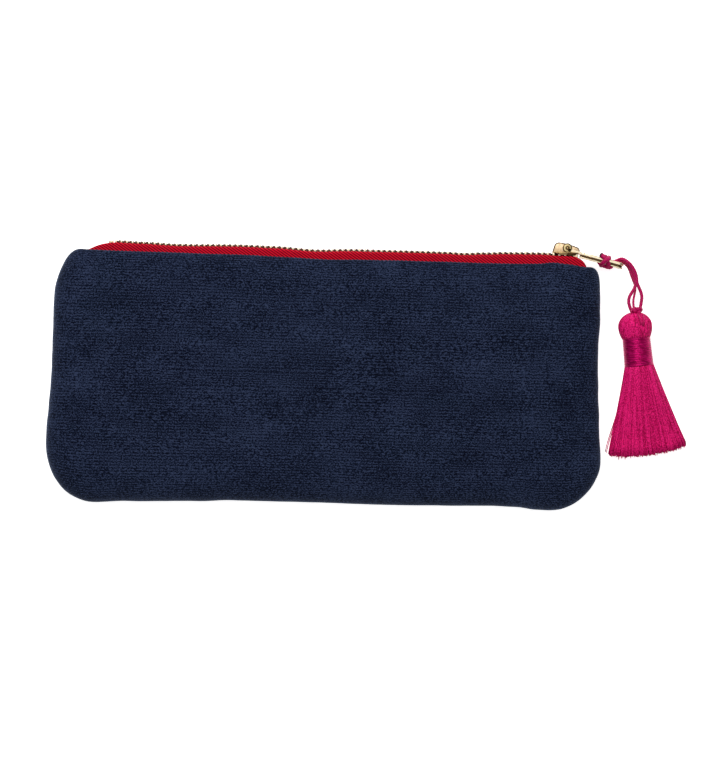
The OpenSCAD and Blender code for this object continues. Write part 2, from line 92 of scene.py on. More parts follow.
# Layers of cloth: thickness, place inside the velvet, and lift of their rims along the zip
VELVET_T, WADDING_T, LINING_T = 1.3, 0.8, 0.4
WADDING_INSET, LINING_INSET = 1.6, 2.6
VELVET_LIFT, LINING_LIFT = 4.0, 3.0
SEAM_GAP = 0.15
# The lift is full this far below the top edge and this far in from the zip's two ends
LIFT_FULL = 1.2
OPEN_RUN, CLOSED_RUN = 12.6, 3.9

# Zip: teeth with their heads and legs, tapes down to their foot in the pouch, and stitches
CHAIN_Y = (teeth_low[1] + teeth_high[1]) / 2
TOOTH_PROUD = 0.4
TOOTH_T = teeth_high[1] - teeth_low[1] + TOOTH_PROUD
TOOTH_L, HEAD_L, LEG_L = 0.85, 1.02, 0.8
TOOTH_PITCH = 2.1
TOOTH_REACH, TOOTH_LEG = 0.6, 2.2
TAPE_T, TAPE_EDGE, TAPE_DROP, TAPE_TURN, TAPE_SINK = 0.5, 1.05, 3.6, 0.9, 0.25
TAPE_FOOT = CHAIN_Y - tape_low[1]
TAPE_OPEN_X, TAPE_CLOSED_X = tape_low[0], tape_high[0]
TAPE_OPEN_SLOPE, TAPE_CLOSED_SLOPE = 11.0, 5.6
STITCH_PITCH, STITCH_L, THREAD_R = 2.8, 1.7, 0.2

# Slider, pull, cord and tassel
SLIDER_BACK = 4.8
SLIDER_X = slider_low[0] + SLIDER_BACK
WING_TOP = slider_high[1] - CHAIN_Y
PULL_DROOP = math.radians(-13.5)
CORD_R, FINE_CORD_R = 0.68, 0.47
HEAD_FROM_HITCH = np.array([11.6, -25.3])
HEAD_R, HEAD_DOME, HEAD_BELLY = 6.4, 5.2, 8.0
NECK_START, NECK_END, NECK_R = 4.2, 14.8, 4.75
TASSEL_ANGLE = math.radians(-82.7)
REST_GAP = 0.1


# Forms: arrays of points in millimetres and lists of faces

CURVE_STEPS, ROUND_STEPS = 24, 4
SEED_APART = 17.0
# A direction that no path starts along
ASKEW = (0.31, 0.2, 0.93)


def smooth(t):
    t = np.clip(t, 0.0, 1.0)
    return t * t * (3 - 2 * t)


def unit(v):
    return v / np.maximum(np.linalg.norm(v, axis=-1, keepdims=True), 1e-9)


def full_turn(steps):
    return np.linspace(0, 2 * math.pi, steps, endpoint=False)


def distances(path):
    """Distance along a path to each of its points."""
    return np.concatenate([[0], np.cumsum(np.linalg.norm(np.diff(path, axis=0), axis=1))])


def eased(knots, x):
    """Smooth line through (place, value) pairs."""
    places, values = np.array(knots, float).T
    i = np.clip(np.searchsorted(places, x) - 1, 0, len(places) - 2)
    share = smooth((x - places[i]) / (places[i + 1] - places[i]))
    return values[i] + (values[i + 1] - values[i]) * share


def ripple(points, size, seed):
    """Smooth noise from -1 to 1 at each point, with waves of about that size."""
    shift = SEED_APART * seed
    return np.array([noise.noise((x / size, y / size, z / size + shift)) for x, y, z in points])


def joined(shapes):
    """Points and faces of several shapes as one."""
    points, faces, count = [], [], 0
    for corners, sides in shapes:
        points.append(corners)
        faces += [tuple(i + count for i in side) for side in sides]
        count += len(corners)
    return np.concatenate(points), faces


def ring_faces(rings, around, loop=False):
    """Quads between neighbouring rings, from the last to the first as well if loop is set."""
    faces = []
    for j in range(rings if loop else rings - 1):
        a, b = j * around, (j + 1) % rings * around
        for i in range(around):
            k = (i + 1) % around
            faces.append((a + i, a + k, b + k, b + i))
    return faces


def capped(rings):
    """Closed solid through a stack of rings."""
    count, around = rings.shape[:2]
    last = (count - 1) * around
    faces = ring_faces(count, around)
    faces += [tuple(range(around - 1, -1, -1)), tuple(last + i for i in range(around))]
    return rings.reshape(-1, 3), faces


def looped(rings):
    """Closed solid round a loop of rings."""
    return rings.reshape(-1, 3), ring_faces(*rings.shape[:2], loop=True)


def spline(points, step):
    """Even points along a smooth curve through the given ones."""
    p = np.asarray(points, float)
    p = np.vstack([2 * p[0] - p[1], p, 2 * p[-1] - p[-2]])
    t = np.linspace(0, 1, CURVE_STEPS, endpoint=False)[:, None]
    runs = []
    for a, b, c, d in zip(p, p[1:], p[2:], p[3:]):
        runs.append(b + 0.5 * t * (c - a + t * (2 * a - 5 * b + 4 * c - d + t * (3 * (b - c) + d - a))))
    fine = np.vstack(runs + [p[-2:-1]])
    along = distances(fine)
    even = np.linspace(0, along[-1], max(2, int(round(along[-1] / step)) + 1))
    return np.column_stack([np.interp(even, along, fine[:, k]) for k in range(3)])


def tube(path, radius, sides, lobes=0, depth=0.0, lay=1.0):
    """Closed tube along a path. Lobes wind round it once in each lay, as the plies of a cord do."""
    path = np.asarray(path, float)
    radius = np.broadcast_to(radius, len(path))
    tangents = unit(np.gradient(path, axis=0))
    normal = np.cross(tangents[0], ASKEW)
    angle = full_turn(sides)
    rings = []
    for point, tangent, r, s in zip(path, tangents, radius, distances(path)):
        normal = unit(normal - tangent * (normal @ tangent))
        side = np.cross(tangent, normal)
        reach = r * (1 - depth / 2 + depth / 2 * np.cos(lobes * (angle - 2 * math.pi * s / lay)))
        first, second = np.outer(reach * np.cos(angle), normal), np.outer(reach * np.sin(angle), side)
        rings.append(point + first + second)
    return capped(np.array(rings))


def inset_outline(outline, distance):
    """An anticlockwise outline moved in by a distance."""
    before, after = unit(outline - np.roll(outline, 1, 0)), unit(np.roll(outline, -1, 0) - outline)
    first, second = (np.column_stack([-d[:, 1], d[:, 0]]) for d in (before, after))
    middle = unit(first + second)
    return outline + middle * (distance / np.maximum(0.5, (middle * first).sum(1)))[:, None]


def rounded(corners, radii, steps=6):
    corners = np.asarray(corners, float)
    radii = np.broadcast_to(radii, len(corners))
    t = np.linspace(0, 1, steps)[:, None]
    runs = []
    for before, corner, after, r in zip(np.roll(corners, 1, 0), corners, np.roll(corners, -1, 0), radii):
        a, b = corner + r * unit(before - corner), corner + r * unit(after - corner)
        runs.append((1 - t) ** 2 * a + 2 * t * (1 - t) * corner + t**2 * b)
    return np.vstack(runs)


def circle(radius, sides=32, centre=(0.0, 0.0)):
    a = full_turn(sides)
    return np.column_stack([np.cos(a), np.sin(a)]) * radius + np.array(centre)


def at_height(outline, height):
    return np.column_stack([outline, np.full(len(outline), height)])


def slab(outline, low, high, edge, hole=None):
    """Plate with rounded edges. The outline lies in the first two axes, and low and high in the third. A hole
    has as many points as the outline."""
    turn = [
        (edge * (1 - math.sin(a)), edge * (1 - math.cos(a)))
        for a in np.linspace(0, math.pi / 2, ROUND_STEPS)
    ]
    steps = [(i, low + h) for i, h in turn] + [(i, high - h) for i, h in reversed(turn)]
    rings = [at_height(inset_outline(outline, i), h) for i, h in steps]
    if hole is None:
        return capped(np.array(rings))
    rings += [at_height(inset_outline(hole, -i), h) for i, h in reversed(steps)]
    return looped(np.array(rings))


def ring_band(outline, inset, radius, height, steps=8):
    """Round ridge that follows an outline, at a height across it."""
    rings = []
    for a in full_turn(steps):
        ring = inset_outline(outline, inset + radius * math.cos(a))
        rings.append(at_height(ring, height + radius * math.sin(a)))
    return looped(np.array(rings))


def placed(shape, origin, first, second, third):
    points, faces = shape
    axes = np.array([first, second, third], float)
    return np.asarray(points) @ axes + np.asarray(origin, float), faces


# Materials

NO_TURN = (0.0, 0.0, 0.0)


class Finish:
    """A material, with short ways to add texture nodes to its shader."""

    def __init__(self, name, **sockets):
        self.material = bpy.data.materials.new(name)
        self.material.use_nodes = True
        self.tree = self.material.node_tree
        self.shader = self.tree.nodes["Principled BSDF"]
        for socket, value in sockets.items():
            self.shader.inputs[socket.replace("_", " ")].default_value = value

    def node(self, kind, **values):
        made = self.tree.nodes.new("ShaderNode" + kind)
        for name, value in values.items():
            if hasattr(made, name):
                setattr(made, name, value)
            else:
                made.inputs[name.replace("_", " ")].default_value = value
        return made

    def link(self, output, node, socket):
        self.tree.links.new(output, node.inputs[socket])

    def mapped(self, sizes, turn=NO_TURN):
        """Object coordinates turned by degrees and divided by sizes in millimetres."""
        turned = self.node("Mapping", vector_type="POINT", Rotation=[math.radians(a) for a in turn])
        self.link(self.node("TexCoord").outputs["Object"], turned, "Vector")
        scaled = self.node("Mapping", vector_type="POINT", Scale=[1 / (s * MM) for s in sizes])
        self.link(turned.outputs["Vector"], scaled, "Vector")
        return scaled.outputs["Vector"]

    def noise(self, sizes, detail=2.0, roughness=0.5, turn=NO_TURN):
        made = self.node("TexNoise", Scale=1.0, Detail=detail, Roughness=roughness)
        self.link(self.mapped(sizes, turn), made, "Vector")
        return made.outputs[0]

    def wave(self, vector, direction, wobble):
        """Bands across one direction of a vector, one in each unit of it."""
        made = self.node(
            "TexWave", bands_direction=direction, Scale=math.pi / 10, Distortion=wobble, Detail=1.0,
        )
        self.link(vector, made, "Vector")
        return made.outputs["Fac"]

    def bands(self, size, turn=NO_TURN, wobble=0.0):
        """Even bands across the turned X axis, one in each size."""
        return self.wave(self.mapped((size, size, size), turn), "X", wobble)

    def rows(self, name, size, length, wobble):
        """Uneven rows along X, one in each size of a distance in millimetres that the mesh carries."""
        split, joined = self.node("SeparateXYZ"), self.node("CombineXYZ")
        self.link(self.mapped((length, length, length)), split, "Vector")
        self.link(split.outputs["X"], joined, "X")
        self.link(self.sum("DIVIDE", self.attribute(name), size), joined, "Y")
        return self.wave(joined.outputs[0], "Y", wobble)

    def attribute(self, name):
        """Value at each point, as mark() left it on the mesh."""
        return self.node("Attribute", attribute_name=name).outputs["Fac"]

    def sum(self, operation, *terms):
        """Outcome of a Math node, from outputs and plain numbers."""
        made = self.node("Math", operation=operation)
        for i, term in enumerate(terms):
            if isinstance(term, float):
                made.inputs[i].default_value = term
            else:
                self.link(term, made, i)
        return made.outputs[0]

    def weighed(self, first, second, share):
        """First and second added in the shares 1 - share and share."""
        return self.sum("MULTIPLY_ADD", first, 1 - share, self.sum("MULTIPLY", second, share))

    def colour(self, factor, stops):
        made = self.node("ValToRGB")
        elements = made.color_ramp.elements
        while len(elements) < len(stops):
            elements.new(0.5)
        for element, (place, colour) in zip(elements, stops):
            element.position = place
            element.color = (*colour, 1.0)
        self.link(factor, made, "Fac")
        self.link(made.outputs["Color"], self.shader, "Base Color")
        return self

    def roughness(self, factor, low, high):
        made = self.node("MapRange", To_Min=low, To_Max=high)
        self.link(factor, made, "Value")
        self.link(made.outputs[0], self.shader, "Roughness")
        return self

    def bump(self, height, depth, strength):
        made = self.node("Bump", Strength=strength, Distance=depth * MM)
        self.link(height, made, "Height")
        self.link(made.outputs["Normal"], self.shader, "Normal")
        return self


def velvet_finish():
    finish = Finish(
        "navy_velvet", Specular_IOR_Level=0.06,
        Sheen_Weight=0.34, Sheen_Roughness=0.36, Sheen_Tint=(0.5, 0.62, 0.88, 1),
    )
    tufts = finish.noise((0.58, 0.37, 0.37), detail=2.0, roughness=0.7)
    rows = finish.rows("rib", 1.1, 3.5, wobble=2.0)
    ribs = finish.weighed(tufts, rows, 0.08)
    nap = finish.noise((17, 11, 11), detail=3.0)
    pile = finish.weighed(ribs, nap, 0.13)
    finish.colour(pile, [
        (0.43, (0.0004, 0.0013, 0.0065)), (0.5, (0.0046, 0.009, 0.0255)), (0.57, (0.028, 0.04, 0.085)),
    ])
    return finish.roughness(nap, 0.8, 0.98).bump(ribs, 0.35, 0.7).material


def fibre_finish(name, size, detail, stops, rough, bump, turn=NO_TURN, **sockets):
    """One noise that colours, dulls and raises the fibres."""
    finish = Finish(name, **sockets)
    fibres = finish.noise(size, detail=detail, turn=turn)
    return finish.colour(fibres, stops).roughness(fibres, *rough).bump(fibres, *bump).material


def lining_finish():
    finish = Finish("navy_lining", Specular_IOR_Level=0.3)
    warp, weft = finish.bands(0.5), finish.bands(0.5, turn=(0, 0, 90))
    weave = finish.weighed(warp, weft, 0.5)
    worn = finish.weighed(weave, finish.noise((9, 9, 9)), 0.5)
    finish.colour(worn, [(0.25, (0.012, 0.016, 0.04)), (0.75, (0.034, 0.042, 0.092))])
    return finish.roughness(worn, 0.45, 0.65).bump(weave, 0.12, 0.4).material


def thread_finish():
    finish = Finish("navy_thread", Specular_IOR_Level=0.3)
    plies = finish.bands(0.35, turn=(0, 0, 35))
    finish.colour(plies, [(0.2, (0.006, 0.009, 0.022)), (0.8, (0.03, 0.038, 0.08))])
    return finish.roughness(plies, 0.5, 0.7).bump(plies, 0.08, 0.5).material


def tape_finish():
    finish = Finish("red_twill_tape", Specular_IOR_Level=0.04)
    twill = finish.bands(0.84, turn=(0, 0, -57), wobble=0.3)
    fibres = finish.noise((0.9, 0.4, 0.4), detail=3.0, turn=(0, 0, 30))
    shade = finish.weighed(twill, fibres, 0.25)
    finish.colour(shade, [
        (0.2, (0.08, 0.0004, 0.002)), (0.42, (0.4, 0.0016, 0.013)), (0.8, (0.63, 0.005, 0.026)),
    ])
    return finish.roughness(fibres, 0.55, 0.75).bump(twill, 0.2, 0.7).material


def gold_finish(name, bright, dull, low, high):
    finish = Finish(name, Metallic=1.0)
    brushed = finish.noise((1.6, 0.25, 0.25), detail=3.0)
    tarnish = finish.noise((2.4, 2.4, 2.4), detail=2.0)
    finish.colour(tarnish, [(0.3, dull), (0.65, bright)])
    return finish.roughness(brushed, low, high).bump(brushed, 0.02, 0.15).material


def teeth_finish():
    finish = Finish("gold_teeth", Metallic=1.0)
    wear = finish.noise((0.8, 0.8, 0.8), detail=2.0)
    # Painted shade: darker the deeper a point lies between the ends of the legs, mixed with some real wear
    depth = finish.weighed(finish.attribute("recess_shade"), wear, 0.25)
    finish.colour(depth, [
        (0.1, (0.9, 0.79, 0.57)), (0.45, (0.45, 0.31, 0.15)), (0.75, (0.045, 0.022, 0.012)),
    ])
    return finish.roughness(wear, 0.2, 0.38).bump(wear, 0.02, 0.2).material


def yarn_finish(name, dark, middle, light, gloss, rough):
    finish = Finish(name, Specular_IOR_Level=gloss)
    strands = finish.node("NewGeometry").outputs["Random Per Island"]
    fibres = finish.noise((0.32, 0.5, 0.32), detail=1.0, turn=(0, 0, 7))
    tone = finish.weighed(strands, fibres, 0.8)
    finish.colour(tone, [(0.37, dark), (0.5, middle), (0.63, light)])
    return finish.roughness(fibres, rough - 0.1, rough + 0.1).bump(fibres, 0.06, 0.35).material


def floor_finish():
    finish = Finish(
        "white_table", Specular_IOR_Level=0.0, Emission_Color=(1, 1, 1, 1), Emission_Strength=0.75,
    )
    grain = finish.noise((60, 60, 60))
    finish.colour(grain, [(0.3, (0.93, 0.93, 0.93)), (0.7, (0.95, 0.95, 0.95))])
    return finish.roughness(grain, 0.85, 0.95).material


VELVET = velvet_finish()
WADDING = fibre_finish(
    "pale_wadding", (1.5, 1.5, 1.5), 4.0, [(0.3, (0.55, 0.53, 0.47)), (0.7, (0.78, 0.76, 0.7))],
    rough=(0.85, 1.0), bump=(0.3, 0.4), Specular_IOR_Level=0.1, Sheen_Weight=0.2,
)
LINING = lining_finish()
THREAD = thread_finish()
TAPE = tape_finish()
TEETH = teeth_finish()
GOLD = gold_finish("pale_gold", (0.94, 0.82, 0.6), (0.74, 0.6, 0.38), 0.14, 0.3)
WORN_GOLD = gold_finish("worn_gold", (0.82, 0.62, 0.4), (0.5, 0.34, 0.18), 0.2, 0.38)
OLIVE_GOLD = gold_finish("olive_gold", (0.62, 0.5, 0.26), (0.4, 0.3, 0.13), 0.22, 0.4)
# Painted shade: a darker, rougher gold for the slider's body where the pull shades it, and for the rivet
DULL_SHADED_GOLD = gold_finish("dull_gold_painted_shade", (0.42, 0.29, 0.13), (0.22, 0.14, 0.06), 0.28, 0.45)
# Painted shade: near-black gold for the slider's mouth, the lug's rim, the ear grooves and the web between
# the pull's plates
DEEP_SHADE_GOLD = gold_finish("gold_painted_deep_shade", (0.1, 0.055, 0.02), (0.05, 0.028, 0.012), 0.4, 0.6)
YARN = yarn_finish(
    "magenta_yarn", (0.28, 0.001, 0.042), (0.58, 0.004, 0.115), (0.86, 0.018, 0.21), gloss=0.07, rough=0.6,
)
BINDING = fibre_finish(
    "satin_thread", (2.0, 0.4, 2.0), 2.0,
    [(0.3, (0.24, 0.0008, 0.048)), (0.5, (0.42, 0.002, 0.095)), (0.7, (0.66, 0.008, 0.18))],
    rough=(0.32, 0.48), bump=(0.05, 0.3), turn=(0, 0, 7), Metallic=0.6, Specular_IOR_Level=0.1,
)
CORD = fibre_finish(
    "magenta_cord", (0.35, 0.35, 0.35), 3.0,
    [(0.25, (0.17, 0.001, 0.025)), (0.5, (0.41, 0.0025, 0.082)), (0.75, (0.62, 0.012, 0.15))],
    rough=(0.35, 0.6), bump=(0.05, 0.4), Specular_IOR_Level=0.12,
)
CUT_END = fibre_finish(
    "singed_cord_end", (0.4, 0.4, 0.4), 3.0, [(0.3, (0.02, 0.006, 0.012)), (0.7, (0.12, 0.03, 0.06))],
    rough=(0.5, 0.8), bump=(0.08, 0.5), Specular_IOR_Level=0.3,
)
FLOOR = floor_finish()


# Pieces


def in_scene(name, data):
    made = bpy.data.objects.new(name, data)
    bpy.context.scene.collection.objects.link(made)
    return made


def mesh_object(name, points, faces, material):
    """Object with a smooth mesh through points in millimetres."""
    mesh = bpy.data.meshes.new(name)
    mesh.from_pydata((points * MM).tolist(), [], faces)
    mesh.polygons.foreach_set("use_smooth", [True] * len(mesh.polygons))
    mesh.materials.append(material)
    return in_scene(name, mesh)


def piece(name, shapes, material):
    """Object of closed shapes, with its faces turned outwards."""
    made = mesh_object(name, *joined(shapes), material)
    work = bmesh.new()
    work.from_mesh(made.data)
    bmesh.ops.recalc_face_normals(work, faces=work.faces)
    work.to_mesh(made.data)
    work.free()
    return made


def mark(mesh, name, values):
    made = mesh.attributes.new(name, "FLOAT", "POINT")
    made.data.foreach_set("value", np.asarray(values, np.float32))


SHARP_ANGLE = math.radians(35)


def metal(name, shapes, material):
    """Piece with its edges kept sharp in the shading."""
    made = piece(name, shapes, material)
    made.data.set_sharp_from_angle(angle=SHARP_ANGLE)
    return made


def on_body(body, obj, *nodes):
    """The object moves with a body and stands in for nodes of the CAD, if there are any."""
    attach(obj, body)
    if nodes:
        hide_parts(*nodes)


def bends(obj, first, second, shares, *nodes):
    """The object's place is baked into its mesh and it stands in for the nodes. The first and second bodies
    and the shares are not used.
    """
    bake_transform(obj)
    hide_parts(*nodes)


# Camera, straight above and turned as the photo is

IMAGE_H = 758
PX_PER_MM = 2.638
CAMERA_TURN = math.radians(1.6)
VIEW_MIDDLE = (13.62, 1.14)
VIEW_PLANE_Z = 8.0
LENS, SENSOR = 100.0, 36.0

camera_data = bpy.data.cameras.new("camera")
camera_data.lens = LENS
camera_data.sensor_width = SENSOR
camera = in_scene("camera", camera_data)
view_distance = IMAGE_H / PX_PER_MM * LENS / SENSOR
camera.location = [v * MM for v in (*VIEW_MIDDLE, VIEW_PLANE_Z + view_distance)]
camera.rotation_euler = (0, 0, CAMERA_TURN)
bpy.context.scene.camera = camera


# The cord's three strands, from the hitch along the back of the pull and over its tip to the tassel's head,
# as [x, y, z] from the hitch

ROUTES = {
    "left": [
        (-0.6, -0.2, -2.75), (1.4, -0.6, -2.75), (3.2, -0.8, -2.6), (4.9, -0.6, -2.2), (6.3, -0.5, -1.4),
        (8.4, -1.8, -0.6), (9.6, -3.5, -0.8), (10.5, -5.4, -0.9), (11.2, -7.3, -0.9),
        (11.6, -9.2, -0.9), (11.1, -11.0, -0.6), (10.1, -12.7, -0.3), (9.2, -14.4, 0.1), (9.0, -16.3, 0.5),
        (9.4, -18.1, 0.8), (10.25, -19.97, 0.9), (10.6, -21.5, 1.0),
    ],
    "inner": [
        (-0.7, -0.8, -3.7), (1.3, -1.1, -3.7), (3.1, -1.2, -3.5), (4.8, -0.95, -3.0), (6.3, -0.9, -2.5),
        (8.2, -2.3, -2.1), (9.3, -4.0, -2.2), (10.0, -5.9, -2.2), (10.8, -7.8, -2.2),
        (11.5, -9.6, -2.1), (11.6, -11.4, -1.6), (11.3, -13.2, -1.0), (10.9, -15.0, -0.4),
        (10.8, -16.8, 0.2), (11.0, -18.5, 0.7), (11.42, -19.83, 0.9), (11.8, -21.5, 1.0),
    ],
    "right": [
        (-0.8, -1.3, -2.8), (1.2, -1.6, -2.8), (3.0, -1.1, -2.9), (4.6, -0.3, -2.3), (5.8, 0.15, -0.8),
        (7.0, -0.25, 0.6), (8.7, -1.5, 1.0), (10.1, -3.1, 0.8), (11.1, -4.9, 0.7), (11.7, -6.9, 0.7),
        (11.9, -8.8, 0.7), (12.7, -10.6, 0.7), (13.5, -12.4, 0.7), (13.9, -14.3, 0.7), (13.7, -16.3, 0.8),
        (13.4, -18.3, 0.9), (13.1, -20.0, 1.0), (13.0, -21.5, 1.0),
    ],
}
CORD_SIDES, CORD_STEP = 15, 0.3
CORD_PLIES, CORD_GROOVE, CORD_LAY = 3, 0.12, 3.4
# The share of a strand's length over which the share handed to bends() rises from 0 to 1
LIFT_FROM, LIFT_RUN = 0.06, 0.26


def twisted(path, radius, sides=CORD_SIDES, groove=CORD_GROOVE):
    return tube(path, radius, sides, CORD_PLIES, groove, CORD_LAY)


for side, route in ROUTES.items():
    radius = FINE_CORD_R if side == "inner" else CORD_R
    path = spline(np.array(route) + HITCH, CORD_STEP)
    node = "cord_strand_" + side
    strand = piece(node + "_twisted", [twisted(path, radius)], CORD)
    share = np.repeat(smooth((np.linspace(0, 1, len(path)) - LIFT_FROM) / LIFT_RUN), CORD_SIDES)
    bends(strand, "cord", "tassel", share, node)


# Pouch: cloth layers, each a dish with a rounded rim

CORNER_STEPS, EDGE_STEPS, SIDE_STEPS = 16, 150, 50
# Each corner: its side in x and in y, and its radius
CORNERS = [(1, 1, CLOSED_R), (-1, 1, OPEN_R), (-1, -1, BOTTOM_R), (1, -1, BOTTOM_R)]
MIDDLE_STRIP = 3.0
# How far the worn pouch departs from its straight lines, by place along each edge: up along the zip,
# the panels' edge and the hem, and out along the two sides
ZIP_WAVE = [
    (-104, 0.5), (-90, 1.1), (-79, 0.8), (-70, 0.55), (-56, 0.1), (-33, 0.5), (-20, 0.3), (-4, -0.55),
    (10, -0.02), (30, 0.0), (45, -0.05), (52, -0.3), (60, 0.1), (68, 0.45), (82, 0.65), (88, 0.42),
    (94, 0.35), (98, 0.1), (104, 0.0),
]
PANEL_WAVE = [
    (-104, 1.0), (-97, 1.45), (-90, 1.1), (-78, 0.85), (-56, 0.8), (-45, 0.62), (-33, 0.7), (-16, 0.25),
    (0, -0.22), (16, 0.1), (45, 0.1), (58, 0.05), (70, 0.1), (80, 0.35), (86, 1.0), (91, 0.45),
    (97, -0.4), (103, 0.0),
]
HEM_WAVE = [
    (-105, -1.0), (-96, -1.9), (-88, -2.25), (-72, -1.4), (-46, -0.7), (-34, -0.05), (-20, -0.05), (0, 0.05),
    (14, -0.15), (30, -0.1), (45, 0.15), (66, 0.6), (75, 0.4), (82, -0.4), (92, -0.7), (105, -0.2),
]
OPEN_SIDE_WAVE = [
    (-46, 0.0), (-32, -0.05), (-23, 0.15), (0, -0.55), (25, -0.15), (31, -0.1), (42, -2.3), (46, -2.1),
]
CLOSED_SIDE_WAVE = [
    (-46, 1.2), (-28, 1.8), (-14, 1.1), (0, 0.85), (9, 0.65), (16, 0.85), (27, 1.55), (38, 1.45), (46, 1.0),
]
WAVE_REACH = 26.0


def settled(points, top_wave):
    """Points moved with the pouch's slack edges."""

    def near(distance):
        return smooth((WAVE_REACH - distance) / WAVE_REACH)

    x, y = points[:, 0], points[:, 1]
    moved = points.copy()
    moved[:, 1] += eased(top_wave, x) * near(HALF_H - y) + eased(HEM_WAVE, x) * near(HALF_H + y)
    moved[:, 0] += eased(CLOSED_SIDE_WAVE, y) * near(HALF_W - x) - eased(OPEN_SIDE_WAVE, y) * near(HALF_W + x)
    return moved


def plan(inset):
    """Outline of a panel at a distance in from its edge, anticlockwise from the zip's closed end."""
    share = 1 - inset / HALF_H
    w, h = HALF_W - inset, HALF_H - inset
    arcs = []
    for quarter, (sx, sy, radius) in enumerate(CORNERS):
        r, a = radius * share, math.radians(90 * quarter) + np.linspace(0, math.pi / 2, CORNER_STEPS + 1)
        arcs.append(np.column_stack([sx * (w - r) + r * np.cos(a), sy * (h - r) + r * np.sin(a)]))
    runs = []
    for arc, following, steps in zip(arcs, arcs[1:] + arcs[:1], [EDGE_STEPS, SIDE_STEPS] * 2):
        a, b = arc[-1], following[0]
        runs += [arc, a + (b - a) * (np.arange(1, steps) / steps)[:, None]]
    ring = np.vstack(runs)
    ring[:, 0] *= 1 - SIDE_TAPER / HALF_W * (ring[:, 1] + HALF_H) / (2 * HALF_H)
    return ring


def mouth_width(x):
    """Share of the full width between the two panels at a place along the zip."""
    return np.minimum(smooth((x + HALF_TOP) / OPEN_RUN), smooth((HALF_TOP - x) / CLOSED_RUN))


def rim_height(outline, lift):
    """Height of a layer's rim above the seam: level along the seams and lifted along the zip."""
    x, y = outline.T
    corner = np.where(x > 0, CLOSED_R, OPEN_R)
    round_corner = smooth((y - HALF_H + corner) / (corner - LIFT_FULL))
    return SEAM_GAP + (lift - SEAM_GAP) * np.minimum(round_corner, mouth_width(x))


RIM_TURN = [(1.3, 0.0), (0.62, 0.04), (0.22, 0.3), (0.04, 0.75)]
ROLL_STEPS, FLAT_STEPS = 14, 12
ROLL_POWER = 2.3
# Puckers along the edge of slack cloth, coarse and fine, and the slow waves further in
PUCKER_SIZE, FINE_PUCKER_SIZE, FINE_PUCKER = 7.0, 3.2, 0.6
PUCKER_RISE, PUCKER_OUT, PUCKER_REACH, PUCKER_RUN = 0.22, 0.0016, 8.0, 1.5
SAG_RISE, SAG_SIZE, SAG_RUN = 0.32, 30.0, 14.0


def dish(rise, roll, inset, lift, crown, start=0.0, slack=0.0):
    """Rings of a layer of cloth above the seam, from its rim to its middle."""
    outline = plan(0.0)
    rim = rim_height(outline, lift)
    flat = at_height(outline, 0.0)
    pucker = ripple(flat, PUCKER_SIZE, 1) + FINE_PUCKER * ripple(flat, FINE_PUCKER_SIZE, 2)
    shoulder = rise - crown
    steps = []
    if start == 0.0:
        steps += [(d, rim + h) for d, h in RIM_TURN]
        rim = rim + RIM_TURN[-1][1]
    for a in np.linspace(start, math.pi / 2, ROLL_STEPS + 1):
        d = roll * (1 - max(0.0, math.cos(a)) ** (2 / ROLL_POWER))
        steps.append((d, rim + (shoulder - rim) * math.sin(a) ** (2 / ROLL_POWER)))
    run = HALF_H - MIDDLE_STRIP - inset - roll
    for k in range(1, FLAT_STEPS + 1):
        s = k / FLAT_STEPS
        steps.append((roll + run * s, np.full(len(outline), shoulder + crown * math.sin(s * math.pi / 2))))
    rings = []
    for d, height in steps:
        ring = np.column_stack([plan(inset + d), height])
        if slack:
            near = math.exp(-d / PUCKER_REACH)
            ring[:, 2] += slack * (PUCKER_RISE * pucker * near * smooth(d / PUCKER_RUN))
            ring[:, :2] *= (1 + slack * PUCKER_OUT * pucker * near)[:, None]
            ring[:, 2] += slack * SAG_RISE * ripple(ring * (1, 1, 0), SAG_SIZE, 3) * smooth(d / SAG_RUN)
        rings.append(ring)
    return np.array(rings)


def rib_places(rings):
    """Distance of each point from the middle, across the ribs and over the edge along the cloth."""
    outline = plan(0.0)
    out = unit(outline - inset_outline(outline, 1.0))
    shoulder = rings[-FLAT_STEPS - 1, :, 2]
    return (rings[:, :, 1] + out[:, 1] * np.maximum(0.0, shoulder - rings[:, :, 2])).ravel()


def cloth(side, layer, rings, thickness, material):
    """One layer of cloth through rings, closed over its middle, in front of the seam or behind it."""
    count, around = rings.shape[:2]
    points = settled(rings.reshape(-1, 3), PANEL_WAVE)
    faces = ring_faces(count, around)
    # Faces across the middle, from halfway up the closed side to halfway up the open one
    left = 2 * CORNER_STEPS + EDGE_STEPS + SIDE_STEPS // 2
    right = around - SIDE_STEPS // 2
    span = (left - right) % around
    base = (count - 1) * around
    upper = [base + (right + i) % around for i in range(span + 1)]
    lower = [base + (right - i) % around for i in range(span + 1)]
    for a, b, c, d in zip(upper, upper[1:], lower[1:], lower):
        faces.append(tuple(dict.fromkeys((a, b, c, d))))
    if side == "front":
        points[:, 2] = SEAM_Z + points[:, 2]
    else:
        points[:, 2] = SEAM_Z - np.minimum(points[:, 2], BACK_RISE)
        faces = [face[::-1] for face in faces]
    made = mesh_object(side + "_" + layer, points, faces, material)
    mark(made.data, "rib", rib_places(rings))
    finer = made.modifiers.new("finer", "SUBSURF")
    finer.levels = finer.render_levels = 1
    wall = made.modifiers.new("wall", "SOLIDIFY")
    wall.thickness = thickness * MM
    wall.offset = -1.0
    return made


# Where along the zip the mouth bows open, and over what run at each end
MOUTH_FROM, MOUTH_TO, MOUTH_RUN = -52.0, 96.0, 60.0
# The zip and the edge of the cloth part sooner, close behind the slider
LIP_FROM, LIP_RUN, LIP_Y, LIP_DEPTH = -71.0, 66.0, 32.0, 13.0


def mouth_share(x, y=HALF_H):
    """How far a place on the front half follows it as the mouth opens."""
    body, lip = smooth((x - MOUTH_FROM) / MOUTH_RUN), smooth((x - LIP_FROM) / LIP_RUN)
    behind = body + (lip - body) * smooth((y - LIP_Y) / LIP_DEPTH)
    return behind * smooth((MOUTH_TO - x) / MOUTH_RUN)


